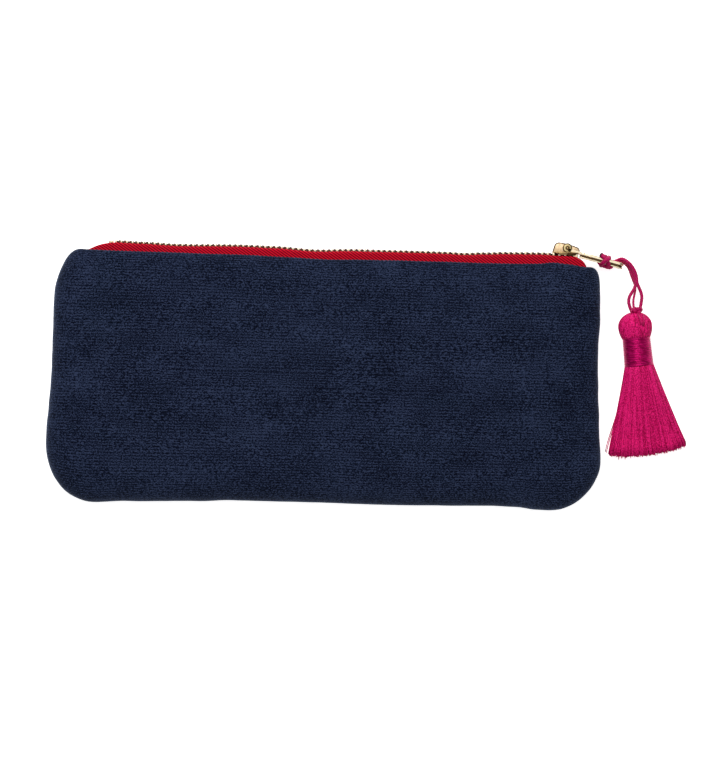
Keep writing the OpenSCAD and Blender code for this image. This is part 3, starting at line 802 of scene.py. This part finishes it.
def sewn(side, obj, node, shares=None):
    """The back half lies still on its body. The front half's place is baked into its mesh, and its shares are
    handed to bends(), which does not use them.
    """
    if side == "back":
        on_body("back_half", obj, node)
        return
    if shares is None:
        x, y = np.array([v.co.xy for v in obj.data.vertices]).T / MM
        shares = mouth_share(x, y)
    bends(obj, "back_half", "front_half", shares, node)


# Each half: side, rise, rounded edge, crown, slack and fill
HALVES = [("front", FRONT_RISE, FRONT_ROLL, 0.7, 1.0, 0.45), ("back", BACK_RISE, BACK_ROLL, 0.0, 0.8, 0.3)]
# The wadding has no turned rim and starts partway up the rounded edge
WADDING_START, WADDING_FILL = math.radians(40), 0.4

for side, rise, roll, crown, slack, fill in HALVES:
    rings = dish(rise, roll, 0.0, VELVET_LIFT, crown, slack=slack)
    velvet = cloth(side, "velvet", rings, VELVET_T, VELVET)
    sewn(side, velvet, side + "_panel")

for side, rise, roll, crown, slack, fill in HALVES:
    rings = dish(rise - WADDING_INSET, roll, WADDING_INSET, VELVET_LIFT, crown, start=WADDING_START)
    wadding = cloth(side, "wadding", rings, WADDING_T, WADDING)
    rings = dish(rise - LINING_INSET, roll, LINING_INSET, LINING_LIFT, crown)
    lining = cloth(side, "lining_cloth", rings, LINING_T, LINING)
    sewn(side, wadding, side + "_interlining")
    sewn(side, lining, side + "_lining")

seam_materials = frame["nodes"]["seam_stitches"].data.materials
seam_materials.clear()
seam_materials.append(THREAD)


# Zip: tapes, stitches, teeth and stops

X_AXIS, Y_AXIS, Z_AXIS = np.eye(3)
# How far the zip sinks towards its ends, and how far and how steeply the tapes go on into the corners
TAPE_OPEN_FALL, TAPE_CLOSED_FALL = 2.8, 4.2
OPEN_TUCK, CLOSED_TUCK, TUCK_SLOPE = 7.5, 3.5, 0.35
MOUTH_LEAST = 0.1
TAPE_STEP, FLAT_POINTS, TURN_POINTS, DROP_POINTS = 0.5, 6, 9, 10


def end_fall(x):
    """How far the crest of the zip has sunk towards its two ends, where it is tucked into the corners."""
    before = np.clip((TAPE_OPEN_X + TAPE_OPEN_SLOPE - x) / TAPE_OPEN_SLOPE, 0, 1)
    past = np.clip((x - TAPE_CLOSED_X + TAPE_CLOSED_SLOPE) / TAPE_CLOSED_SLOPE, 0, 1)
    tucked = np.maximum(0, TAPE_OPEN_X - x) + np.maximum(0, x - TAPE_CLOSED_X)
    return TAPE_OPEN_FALL * before**2 + TAPE_CLOSED_FALL * (1 - np.sqrt(1 - past**2)) + TUCK_SLOPE * tucked


def on_zip(shape, x, side):
    """Shape drawn as [across, up, along], put on the worn zip at a place along it."""
    points, faces = placed(shape, (x, CHAIN_Y, SEAM_Z), side * Z_AXIS, Y_AXIS, X_AXIS)
    moved = settled(points, ZIP_WAVE)
    moved[:, 1] -= end_fall(points[:, 0])
    return moved, faces


def tape_form(side):
    """One tape, from beside the teeth over a rounded turn down to its foot."""
    bend_u, bend_v = TAPE_DROP - TAPE_TURN, -TAPE_SINK - TAPE_TURN
    turn = np.linspace(0, math.pi / 2, TURN_POINTS)
    flat = [(u, -TAPE_SINK) for u in np.linspace(TAPE_EDGE, bend_u, FLAT_POINTS)[:-1]]
    bend = [(bend_u + TAPE_TURN * math.sin(a), bend_v + TAPE_TURN * math.cos(a)) for a in turn]
    drop = [(TAPE_DROP, v) for v in np.linspace(bend_v, -TAPE_FOOT, DROP_POINTS)[1:]]
    line = np.array(flat + bend + drop)
    tangent = unit(np.gradient(line, axis=0))
    half = np.column_stack([-tangent[:, 1], tangent[:, 0]]) * TAPE_T / 2
    loop = np.vstack([line + half, (line - half)[::-1]])
    rings = []
    first, last = TAPE_OPEN_X - OPEN_TUCK, TAPE_CLOSED_X + CLOSED_TUCK
    for x in np.arange(first, last + TAPE_STEP / 2, TAPE_STEP):
        across = loop[:, 0] * max(MOUTH_LEAST, mouth_width(x))
        up = -TAPE_FOOT + (loop[:, 1] + TAPE_FOOT) * (1 - end_fall(x) / (TAPE_FOOT + TAPE_T / 2))
        rings.append(np.column_stack([np.full(len(loop), x), CHAIN_Y + up, SEAM_Z + side * across]))
    points, faces = capped(np.array(rings))
    return [(settled(points, ZIP_WAVE), faces)]


STITCH_DOWN, STITCH_DIP, STITCH_SUNK, STITCH_POINTS = 1.15, 0.2, 0.6 * THREAD_R, 9


def row_of_stitches(side):
    form, shares = [], []
    first, last = TAPE_OPEN_X + 2 * STITCH_PITCH, TAPE_CLOSED_X - 2 * STITCH_PITCH
    t = np.linspace(-1, 1, STITCH_POINTS)
    across = TAPE_DROP - TAPE_T / 2 - STITCH_SUNK + STITCH_DIP * t**4
    for x in np.arange(first, last, STITCH_PITCH):
        up = np.full(STITCH_POINTS, HALF_H - STITCH_DOWN)
        path = np.column_stack([x + t * STITCH_L / 2, up, SEAM_Z + side * across])
        points, faces = tube(settled(path, ZIP_WAVE), THREAD_R, sides=8)
        form.append((points, faces))
        shares += [mouth_share(x)] * len(points)
    return form, shares


# Sections across the zip: the gap between metal and tape, and a tooth's head, legs and edges
GRIP_GAP = 0.05
GRIP_TOP, GRIP_LOW = TAPE_T / 2 + GRIP_GAP - TAPE_SINK, -TAPE_T / 2 - GRIP_GAP - TAPE_SINK
TOOTH_LOW, TOOTH_TOP, HEAD_ROOT, LEG_ROOT = -0.72, 0.8, 1.0, 0.7
HEAD_RADII, UPPER_RADII, LOWER_RADII = [0.3, 0.1, 0.1, 0.3], [0.1, 0.15, 0.3, 0.25], [0.15, 0.15, 0.15, 0.1]
HEAD_EDGE, LEG_EDGE, STOP_EDGE, STOP_ROUND = 0.09, 0.14, 0.12, 0.13
STOP_INNER = 0.95
# Painted shade darkens the teeth from this far inside the ends of their legs, over this run
RECESS_IN, RECESS_RUN = 0.5, 0.7


def tooth_shapes():
    """A tooth's head, which reaches past the middle, and its two legs, as [across, up, along]."""

    def section(low, high, radii):
        return rounded([low, (high[0], low[1]), high, (low[0], high[1])], radii, steps=4)

    top = TOOTH_T / 2
    head = section((-TOOTH_REACH, TOOTH_LOW), (HEAD_ROOT, TOOTH_TOP), HEAD_RADII)
    upper_leg = section((LEG_ROOT, GRIP_TOP), (TOOTH_LEG, top), UPPER_RADII)
    lower_leg = section((LEG_ROOT, -top), (TOOTH_LEG, GRIP_LOW), LOWER_RADII)
    shapes = [slab(head, -HEAD_L / 2, HEAD_L / 2, HEAD_EDGE)]
    return shapes + [slab(leg, -LEG_L / 2, LEG_L / 2, LEG_EDGE) for leg in (upper_leg, lower_leg)]


def row_of_teeth(first, side):
    """Teeth of one tape, with the painted shade of each point, which grows with how deep it lies between the
    ends of the legs.
    """
    form, shares, recess_shade = [], [], []
    shapes = tooth_shapes()
    count = int(round((teeth_high[0] - teeth_low[0] - TOOTH_L) / TOOTH_PITCH)) + 1
    for k in range(count):
        x = first + TOOTH_L / 2 + k * TOOTH_PITCH
        for shape in shapes:
            form.append(on_zip(shape, x, side))
            shares += [mouth_share(x)] * len(shape[0])
            # Painted shade, full towards the middle of the chain and none at the ends of the legs
            recess_shade.append(smooth((TOOTH_LEG - RECESS_IN - shape[0][:, 0]) / RECESS_RUN))
    return form, shares, np.concatenate(recess_shade)


def stop_form(node, inner, side):
    """Stop that clamps one tape from an inner place outwards, or both tapes if that is the middle."""
    top, throat = TOOTH_T / 2, TAPE_EDGE - GRIP_GAP
    lower = [(TOOTH_LEG, -top), (TOOTH_LEG, GRIP_LOW), (throat, GRIP_LOW)]
    half = lower + [(throat, GRIP_TOP), (TOOTH_LEG, GRIP_TOP), (TOOTH_LEG, top)]
    rest = [(inner, top), (inner, -top)] if inner > 0 else [(-u, v) for u, v in reversed(half)]
    outline = rounded(half + rest, STOP_ROUND, steps=3)
    low, high = (end[0] for end in node_box(node))
    shape = slab(outline, (low - high) / 2, (high - low) / 2, STOP_EDGE)
    return [on_zip(shape, (low + high) / 2, side)]


for name, side in (("front", 1), ("back", -1)):
    tape = piece(name + "_tape", tape_form(side), TAPE)
    stitch_form, stitch_shares = row_of_stitches(side)
    stitches = piece(name + "_tape_stitches", stitch_form, THREAD)
    first_tooth = node_box(name + "_zip_teeth")[0][0]
    teeth_form, teeth_shares, recess_shade = row_of_teeth(first_tooth, side)
    teeth = metal(name + "_teeth", teeth_form, TEETH)
    # The teeth's painted shade, kept on the mesh for their material
    mark(teeth.data, "recess_shade", recess_shade)
    stop = metal(name + "_stop", stop_form(name + "_top_stop", STOP_INNER, side), GOLD)
    sewn(name, tape, name + "_zip_tape")
    sewn(name, stitches, name + "_zip_stitches", stitch_shares)
    sewn(name, teeth, name + "_zip_teeth", teeth_shares)
    sewn(name, stop, name + "_top_stop")

end_stop = metal("end_stop", stop_form("bottom_stop", 0.0, 1), GOLD)
on_body("back_half", end_stop, "bottom_stop")


# Slider, drawn as [along, out of the pouch, across] from its middle on the chain

SLIDER_RISE = 0.2
SLIDER_AT = np.array([SLIDER_X, CHAIN_Y + SLIDER_RISE, SEAM_Z])
CHANNEL_TOP, CHANNEL_LOW = 1.2, -1.15
UPPER_TOP = WING_TOP - SLIDER_RISE
UPPER_HALF_W, LOWER_HALF_W, LIP_T = 3.2, 2.9, 0.55
# Half of a wing's outline, as [along, share of its half width], and the radii of its corners
WING, WING_RADII = [(-5.2, 0.7), (-1.8, 1.0), (3.4, 1.0), (5.0, 0.55)], [1.2, 1.2, 1.0, 0.9]
POST_X, POST_R, POST_LOW, POST_TOP = 2.9, 0.75, CHANNEL_LOW - 0.3, CHANNEL_TOP + 0.2
UPPER_LIP = rounded([(-2.8, 0.6), (0.1, 0.5), (0.9, 1.45), (-3.6, 1.45)], 0.35)
LOWER_LIP = rounded([(-3.0, -1.45), (3.4, -1.45), (2.8, -0.6), (-2.6, -0.6)], 0.3)
MOUTH_WALL = rounded([(0.5, 0.45), (3.4, 0.45), (4.0, 1.3), (0.5, 1.3)], 0.15)
MOUTH_WALL_OUT = UPPER_HALF_W - 1.2 * LIP_T
MOUTH_WALL_IN = UPPER_HALF_W - 2.2 * LIP_T
LUG = rounded([(-5.3, 1.3), (5.2, 1.3), (5.25, 3.45), (0.9, 4.95), (-4.1, 5.7)], [0.5, 0.5, 1.2, 2.0, 1.9])
LUG_HALF_T, LUG_BORDER, LUG_RIM_R = 0.75, 0.2, 0.2
LUG_RIM_AT = 0.92 * LUG_HALF_T


def on_axes(origin, along, up):
    """A way to put on shapes drawn as [along, up, across], or flat ones drawn as [along, across, up]."""

    def put(*shapes, flat=False):
        second, third = (-Z_AXIS, up) if flat else (up, Z_AXIS)
        return [placed(shape, origin, along, second, third) for shape in shapes]

    return put


def wing_outline(half_w):
    corners = [(x, -half_w * share) for x, share in WING]
    return rounded(corners + [(x, -z) for x, z in reversed(corners)], WING_RADII + WING_RADII[::-1])


def both_sides(outline, inner, outer, edge):
    """Two slabs, as far from the middle on either side."""
    return [slab(outline, inner, outer, edge), slab(outline, -outer, -inner, edge)]


on_slider = on_axes(SLIDER_AT, X_AXIS, Y_AXIS)
plates = on_slider(
    slab(wing_outline(UPPER_HALF_W), CHANNEL_TOP, UPPER_TOP, edge=0.2),
    slab(wing_outline(LOWER_HALF_W), -WING_TOP, CHANNEL_LOW, edge=0.25),
    slab(circle(POST_R, centre=(POST_X, 0.0)), POST_LOW, POST_TOP, edge=0.05),
    flat=True,
)
lips = on_slider(
    *both_sides(UPPER_LIP, UPPER_HALF_W - LIP_T, UPPER_HALF_W, edge=0.22),
    *both_sides(LOWER_LIP, LOWER_HALF_W - LIP_T, LOWER_HALF_W, edge=0.2),
)
# Near-black walls in the slider's mouth, painted shade where the mouth lies in shadow
walls = on_slider(*both_sides(MOUTH_WALL, MOUTH_WALL_IN, MOUTH_WALL_OUT, edge=0.1))
# The slider's plates and lips take the darker gold, painted shade under the pull
on_body("slider", metal("slider", plates + lips, DULL_SHADED_GOLD), "slider_body")
on_body("slider", metal("slider_mouth", walls, DEEP_SHADE_GOLD))

lug = on_slider(slab(LUG, -LUG_HALF_T, LUG_HALF_T, edge=0.3))
rims = on_slider(*(ring_band(LUG, LUG_BORDER, LUG_RIM_R, at) for at in (-LUG_RIM_AT, LUG_RIM_AT)))
on_body("slider", metal("slider_lug", lug, WORN_GOLD), "slider_bridge")
# The lug's rim is near-black, painted shade along its raised border
on_body("slider", piece("slider_lug_rim", rims, DEEP_SHADE_GOLD))


# Pull: a plate folded over a thinner one, on two ears, drawn as [along, up, across] from its pin

PULL_ALONG = np.array([math.cos(PULL_DROOP), math.sin(PULL_DROOP), 0.0])
PULL_UP = np.array([-math.sin(PULL_DROOP), math.cos(PULL_DROOP), 0.0])
PULL_TOP, PULL_FOLD, PULL_GROOVE, PULL_LOW = -0.05, -1.15, -1.85, -2.3
PULL_HALF_W, PULL_SLOT, PULL_TIP_X, PULL_HOLE_R = 1.95, 5.05, 20.5, 0.95
# How far the lower plate and the web between the plates stand back from the upper plate
LOWER_BACK, LOWER_IN, WEB_IN = 0.4, 0.1, 0.45
ARM_X, ARM_END, ARM_LOW, ARM_TOP = 0.2, PULL_SLOT + 0.6, -1.2, 0.1
EAR_INNER, EAR_R, EAR_SIDES = 1.0, 1.8, 40
GROOVE_R, GROOVE_AT = 0.2, 0.96 * PULL_HALF_W
PIN_R, RIVET_R, RIVET_T, RIVET_GAP = 0.6, 0.42, 0.2, 0.01


def tip_plate(back, narrow, low, high, edge, sides=72):
    """Plate of the pull from its slot to its round tip, set back and narrowed, with the hole in its tip."""
    start, half_w = PULL_SLOT + back, PULL_HALF_W - narrow
    a = full_turn(sides)
    c, s = np.cos(a), np.sin(a)
    to_side = half_w / np.maximum(np.abs(s), 1e-6)
    to_start = (PULL_TIP_X - start) / np.maximum(-c, 1e-6)
    reach = np.where(c > 0, half_w, np.minimum(to_side, to_start))
    outline = np.column_stack([PULL_TIP_X + reach * c, reach * s])
    return slab(outline, low, high, edge, hole=circle(PULL_HOLE_R, sides, (PULL_TIP_X, 0.0)))


on_pull = on_axes(PIVOT, PULL_ALONG, PULL_UP)
upper = tip_plate(0.0, 0.0, PULL_FOLD, PULL_TOP, edge=0.22)
lower = tip_plate(LOWER_BACK, LOWER_IN, PULL_LOW, PULL_GROOVE, edge=0.12)
web = tip_plate(LOWER_BACK, WEB_IN, PULL_GROOVE, PULL_FOLD, edge=0.02)
arm = rounded([(ARM_X, ARM_LOW), (ARM_END, PULL_FOLD), (ARM_END, PULL_TOP), (ARM_X, ARM_TOP)], 0.2, steps=3)
arms = both_sides(arm, EAR_INNER, PULL_HALF_W, edge=0.15)
ears = both_sides(circle(EAR_R, EAR_SIDES), EAR_INNER, PULL_HALF_W, edge=0.22)
grooves = [
    ring_band(circle(radius, EAR_SIDES), 0.0, GROOVE_R, at)
    for at in (GROOVE_AT, -GROOVE_AT)
    for radius in (EAR_R - GROOVE_R, RIVET_R + GROOVE_R)
]
pin = slab(circle(PIN_R), -PULL_HALF_W, PULL_HALF_W, edge=0.05)
rivets = both_sides(circle(RIVET_R), PULL_HALF_W + RIVET_GAP, PULL_HALF_W + RIVET_T, edge=0.14)
on_body("pull", metal("pull", on_pull(upper, lower, flat=True) + on_pull(*arms), GOLD), "pull_tab")
on_body("pull", metal("pull_ears", on_pull(*ears), OLIVE_GOLD))
# The ear grooves and the web between the plates are near-black, painted shade in the grooves
on_body("pull", metal("pull_grooves", on_pull(*grooves) + on_pull(web, flat=True), DEEP_SHADE_GOLD))
# The pin and rivets take the darker gold, painted shade in the middle of the ears
on_body("pull", metal("pull_rivet", on_pull(pin, *rivets), DULL_SHADED_GOLD), "pull_pin")


# Hitch: the cord crossed over the front of the pull and wound round it and the strands, with its cut end

HITCH_X = (HITCH - PIVOT) @ PULL_ALONG
HITCH_CORD_R, BIGHT_R, BIGHT_GROOVE, HITCH_STEP = 0.9, 0.8, 0.14, 0.25
HITCH_ROUTE = [
    (-2.4, 0.75, 2.4), (-1.2, 0.2, 2.8), (-0.1, -0.7, 3.1), (0.9, -1.7, 2.7), (1.4, -2.5, 1.3),
    (1.4, -2.75, -1.0), (1.2, -2.3, -3.5), (0.9, -0.9, -4.4), (0.8, 0.2, -3.4), (0.7, 0.6, -0.8),
    (0.85, 0.55, 1.5), (0.6, 0.1, 3.4), (-0.1, -0.8, 4.4), (-0.8, -1.75, 3.3), (-1.2, -2.5, 1.4),
    (-1.1, -2.75, -1.0), (-0.9, -2.2, -3.5), (-0.9, -0.8, -4.3), (-1.0, 0.2, -3.2), (-0.9, 0.55, -0.6),
    (-0.4, 0.65, 0.6),
]
# The bight of the cord, which lies along the lower edge of the pull
BIGHT_ROUTE = [
    (-2.3, -2.0, 0.2), (-1.8, -2.4, 0.9), (-0.7, -2.85, 1.3), (0.8, -3.0, 1.3), (2.2, -2.85, 0.9),
    (2.8, -2.2, 0.2),
]
# Radius of the singed end, by distance past the end of the cord
CUT_END_RADII = {-0.25: 0.92, 0.0: 0.94, 0.3: 0.84, 0.5: 0.45}

hitch_line, bight_line = (
    spline(np.array(route) + (HITCH_X, 0, 0), HITCH_STEP) for route in (HITCH_ROUTE, BIGHT_ROUTE)
)
hitch_form = on_pull(
    twisted(hitch_line, HITCH_CORD_R), twisted(bight_line, BIGHT_R, groove=BIGHT_GROOVE),
)
on_body("pull", piece("cord_hitch_twisted", hitch_form, CORD), "cord_hitch")

end_way = unit(hitch_line[0] - hitch_line[3])
end_line = [hitch_line[0] + end_way * distance for distance in CUT_END_RADII]
end_form = on_pull(tube(end_line, list(CUT_END_RADII.values()), sides=16))
on_body("pull", piece("cord_cut_end", end_form, CUT_END))


# Tassel, drawn as [down the tassel, across, up] from the middle of its head

TASSEL_DOWN = np.array([math.cos(TASSEL_ANGLE), math.sin(TASSEL_ANGLE), 0.0])
TASSEL_ACROSS = np.array([-math.sin(TASSEL_ANGLE), math.cos(TASSEL_ANGLE), 0.0])
TASSEL_AT = np.array([*(HITCH[:2] + HEAD_FROM_HITCH), HEAD_R + REST_GAP])


def on_tassel(points):
    return np.asarray(points) @ np.array([TASSEL_DOWN, TASSEL_ACROSS, Z_AXIS]) + TASSEL_AT


def head_radius(x):
    reach = np.where(x < 0, HEAD_DOME, HEAD_BELLY)
    return HEAD_R * np.sqrt(np.clip(1 - (x / reach) ** 2, 0, 1))


def turned(x, r, angle):
    return np.column_stack([np.broadcast_to(x, np.shape(angle)), r * np.cos(angle), r * np.sin(angle)])


# Solid core of the head and neck, a little inside the yarn
CORE_TOP, CORE_SIDES, CORE_IN, NECK_IN, CORE_LEAST_R = 0.12, 40, 0.4, 0.3, 0.2
dome_x = -HEAD_DOME * np.cos(np.linspace(CORE_TOP, math.pi / 2, 10))
core_x = np.concatenate([dome_x, [1, 2, 3, NECK_START, NECK_END]])
core_r = np.maximum(np.append(head_radius(core_x[:-1]) - CORE_IN, NECK_R - NECK_IN), CORE_LEAST_R)
around = full_turn(CORE_SIDES)
core = np.array([on_tassel(turned(x, r, around)) for x, r in zip(core_x, core_r)])
head_form = [capped(core)]

# Strands over the head: where they start, how far they wander round it and how deep they lie
HEAD_STRANDS, HEAD_STRAND_R, BELLY_FROM, HEAD_OVERLAP = 330, 0.25, 0.7, 0.5
STRAND_TOPS, STRAND_WANDER, STRAND_DEPTHS = (0.14, 0.5), (0.05, 0.25), (0.7, 1.5)
for k in range(HEAD_STRANDS):
    dome_x = -HEAD_DOME * np.cos(np.linspace(rng.uniform(*STRAND_TOPS), math.pi / 2, 9))
    x = np.concatenate([dome_x, np.linspace(BELLY_FROM, NECK_START + HEAD_OVERLAP, 7)])
    start = 2 * math.pi * (k + rng.uniform(-0.5, 0.5)) / HEAD_STRANDS
    turn = start + rng.uniform(*STRAND_WANDER) * np.sin(np.linspace(0, 3, len(x)) + rng.uniform(0, 6))
    r = head_radius(x) - HEAD_STRAND_R * rng.uniform(*STRAND_DEPTHS)
    head_form.append(tube(on_tassel(turned(x, r, turn)), HEAD_STRAND_R, sides=6))
on_body("tassel", piece("tassel_head_yarn", head_form, YARN), "tassel_head")

BINDING_TURNS, BINDING_THREAD_R, TURN_STEPS = 36, 0.2, 36
BINDING_FROM, BINDING_L = NECK_START + 0.2, NECK_END - NECK_START + 0.3
BINDING_TOP_R, BINDING_END_R = NECK_R + 0.3, NECK_R + 0.62
BINDING_UNEVEN, UNEVEN_RATE = 0.06, 2.3
t = np.arange(BINDING_TURNS * TURN_STEPS + 1) / TURN_STEPS
binding_x = BINDING_FROM + BINDING_L * t / BINDING_TURNS + BINDING_UNEVEN * np.sin(UNEVEN_RATE * t)
binding_r = BINDING_TOP_R + (BINDING_END_R - BINDING_TOP_R) * t / BINDING_TURNS
binding_path = on_tassel(turned(binding_x, binding_r, 2 * math.pi * t))
binding_form = [tube(binding_path, BINDING_THREAD_R, sides=8)]
binding = piece("tassel_binding_thread", binding_form, BINDING)
on_body("tassel", binding, "tassel_binding")

SHELL_STRANDS, INNER_STRANDS, SKIRT_STRAND_R = 1100, 500, 0.2
SKIRT_TOP_R, SKIRT_HALF_W, SKIRT_HALF_T, SKIRT_LEAN = 5.1, 14.8, 3.2, 0.4
SKIRT_END, SKIRT_FLARE, SKIRT_TUCK = 49.0, 1.05, 0.8
SKIRT_SINK = HEAD_R - SKIRT_HALF_T
# The cut end: how much shorter it is at the sides, how far it slants, and how uneven it is
END_ROUND, END_SLANT, END_UNEVEN = 1.9, 0.5, 0.4
# How far out in the bundle the strands lie, and how they wave across and up and thin towards their ends
SHELL_REACH, INNER_REACH, STRAND_WAVES = (0.95, 1.0), (0.1, 0.85), (0.05, 0.3)
ACROSS_RATE, UP_RATE, UP_SHARE, END_THIN = 5, 6, 0.4, 0.25
STRAY_UP, STRAY_WAVE = 0.1, 0.1
# Strays of the skirt: place across the bundle, how far the end swings out, and where it ends
STRAYS = [(-0.97, 1.3, 47.0), (-0.95, 1.0, 47.4), (-0.98, 1.7, 46.6), (-0.75, 0.2, 50.0), (-0.6, 0.1, 50.2)]
skirt_form = []


def add_strand(c, s, end, wave, swing=0.0):
    """One strand of the skirt, by its place across and up in the bundle."""
    t = np.linspace(0, 1, 13)
    half_wide = SKIRT_TOP_R + (SKIRT_HALF_W - SKIRT_TOP_R) * t**SKIRT_FLARE
    half_thick = SKIRT_TOP_R + (SKIRT_HALF_T - SKIRT_TOP_R) * smooth(t)
    phase = rng.uniform(0, 6, 2)
    sway = wave * t * np.sin(ACROSS_RATE * t + phase[0])
    across = half_wide * c + SKIRT_LEAN * t + sway - swing * smooth(2.0 * t - 1.0)
    up = -SKIRT_SINK * smooth(t) + half_thick * s + UP_SHARE * wave * t * np.sin(UP_RATE * t + phase[1])
    up = np.maximum(up, SKIRT_STRAND_R + REST_GAP - TASSEL_AT[2])
    down = NECK_END - SKIRT_TUCK + (end - NECK_END + SKIRT_TUCK) * t
    path = on_tassel(np.column_stack([down, across, up]))
    skirt_form.append(tube(path, SKIRT_STRAND_R * (1 - END_THIN * t**6), sides=5))


angle_step = 2 * math.pi / SHELL_STRANDS
places = [(rng.uniform(*SHELL_REACH), angle_step * (k + rng.uniform())) for k in range(SHELL_STRANDS)]
places += [
    (math.sqrt(rng.uniform(*INNER_REACH)), rng.uniform(0, 2 * math.pi)) for k in range(INNER_STRANDS)
]
for reach, a in places:
    c, s = reach * math.cos(a), reach * math.sin(a)
    end = SKIRT_END - END_ROUND * c * c - END_SLANT * c + rng.normal(0, END_UNEVEN)
    add_strand(c, s, end, rng.uniform(*STRAND_WAVES))
for c, swing, end in STRAYS:
    add_strand(c, STRAY_UP, end, STRAY_WAVE, swing)
on_body("tassel", piece("tassel_skirt_yarn", skirt_form, YARN), "tassel_skirt")

# Knot on top of the head, with a short loop that lies on it
KNOT_AT = np.array([118.25, 29.95])
KNOT_R, KNOT_HALF_W, KNOT_HALF_L, KNOT_UP, KNOT_WEAVE = 0.74, 0.55, 0.38, 1.7, 0.8
LOOP_R = 0.42
# Points of the loop, as [x, y, proud of the head]
LOOP_ROUTE = [
    (118.2, 28.7, 0.3), (118.7, 27.0, 0.4), (119.3, 25.3, 0.4),
    (119.9, 24.9, 0.4), (120.2, 26.4, 0.4), (120.2, 28.3, 0.3),
]


def on_head(x, y, proud):
    """Point that stands proud of the head's upper side."""
    local = np.array([x, y]) - TASSEL_AT[:2]
    down, across = local @ TASSEL_DOWN[:2], local @ TASSEL_ACROSS[:2]
    height = math.sqrt(max(0.0, float(head_radius(np.array(down))) ** 2 - across**2))
    return np.array([x, y, TASSEL_AT[2] + height + proud])


t = np.linspace(0, 2 * math.pi, 72)
knot_path = np.column_stack([
    KNOT_AT[0] + KNOT_HALF_W * (np.sin(t) + 2 * np.sin(2 * t)),
    KNOT_AT[1] + KNOT_HALF_L * (np.cos(t) - 2 * np.cos(2 * t)),
    TASSEL_AT[2] + KNOT_UP - KNOT_WEAVE * np.sin(3 * t),
])
loop_path = spline([on_head(*point) for point in LOOP_ROUTE], HITCH_STEP)
knot_form = [twisted(knot_path, KNOT_R, sides=12), twisted(loop_path, LOOP_R, sides=10)]
on_body("tassel", piece("tassel_knot", knot_form, CORD))


# Table and light

FLOOR_HALF, FLOOR_Z = 1500.0, -0.05
floor_corners = at_height(np.array([(-1, -1), (1, -1), (1, 1), (-1, 1)]) * FLOOR_HALF, FLOOR_Z)
floor = mesh_object("table", floor_corners, [(0, 1, 2, 3)], FLOOR)


def softbox(name, place, size, power):
    """Square area light that points at the pouch, with its place and size in metres."""
    data = bpy.data.lights.new(name, "AREA")
    data.shape = "SQUARE"
    data.size = size
    data.energy = power
    made = in_scene(name, data)
    made.location = place
    made.rotation_mode = "QUATERNION"
    made.rotation_quaternion = (-made.location).to_track_quat("-Z", "Y")


softbox("key_light", (-0.2, 0.72, 0.92), size=0.55, power=10.5)
softbox("overhead_light", (0.05, 0.0, 1.5), size=1.3, power=4.5)

world = bpy.context.scene.world or bpy.data.worlds.new("world")
bpy.context.scene.world = world
world.use_nodes = True
background = world.node_tree.nodes["Background"]
background.inputs["Color"].default_value = (1.0, 1.0, 1.0, 1.0)
background.inputs["Strength"].default_value = 0.28
bpy.context.scene.view_settings.view_transform = "Standard"

bpy.context.view_layer.update()
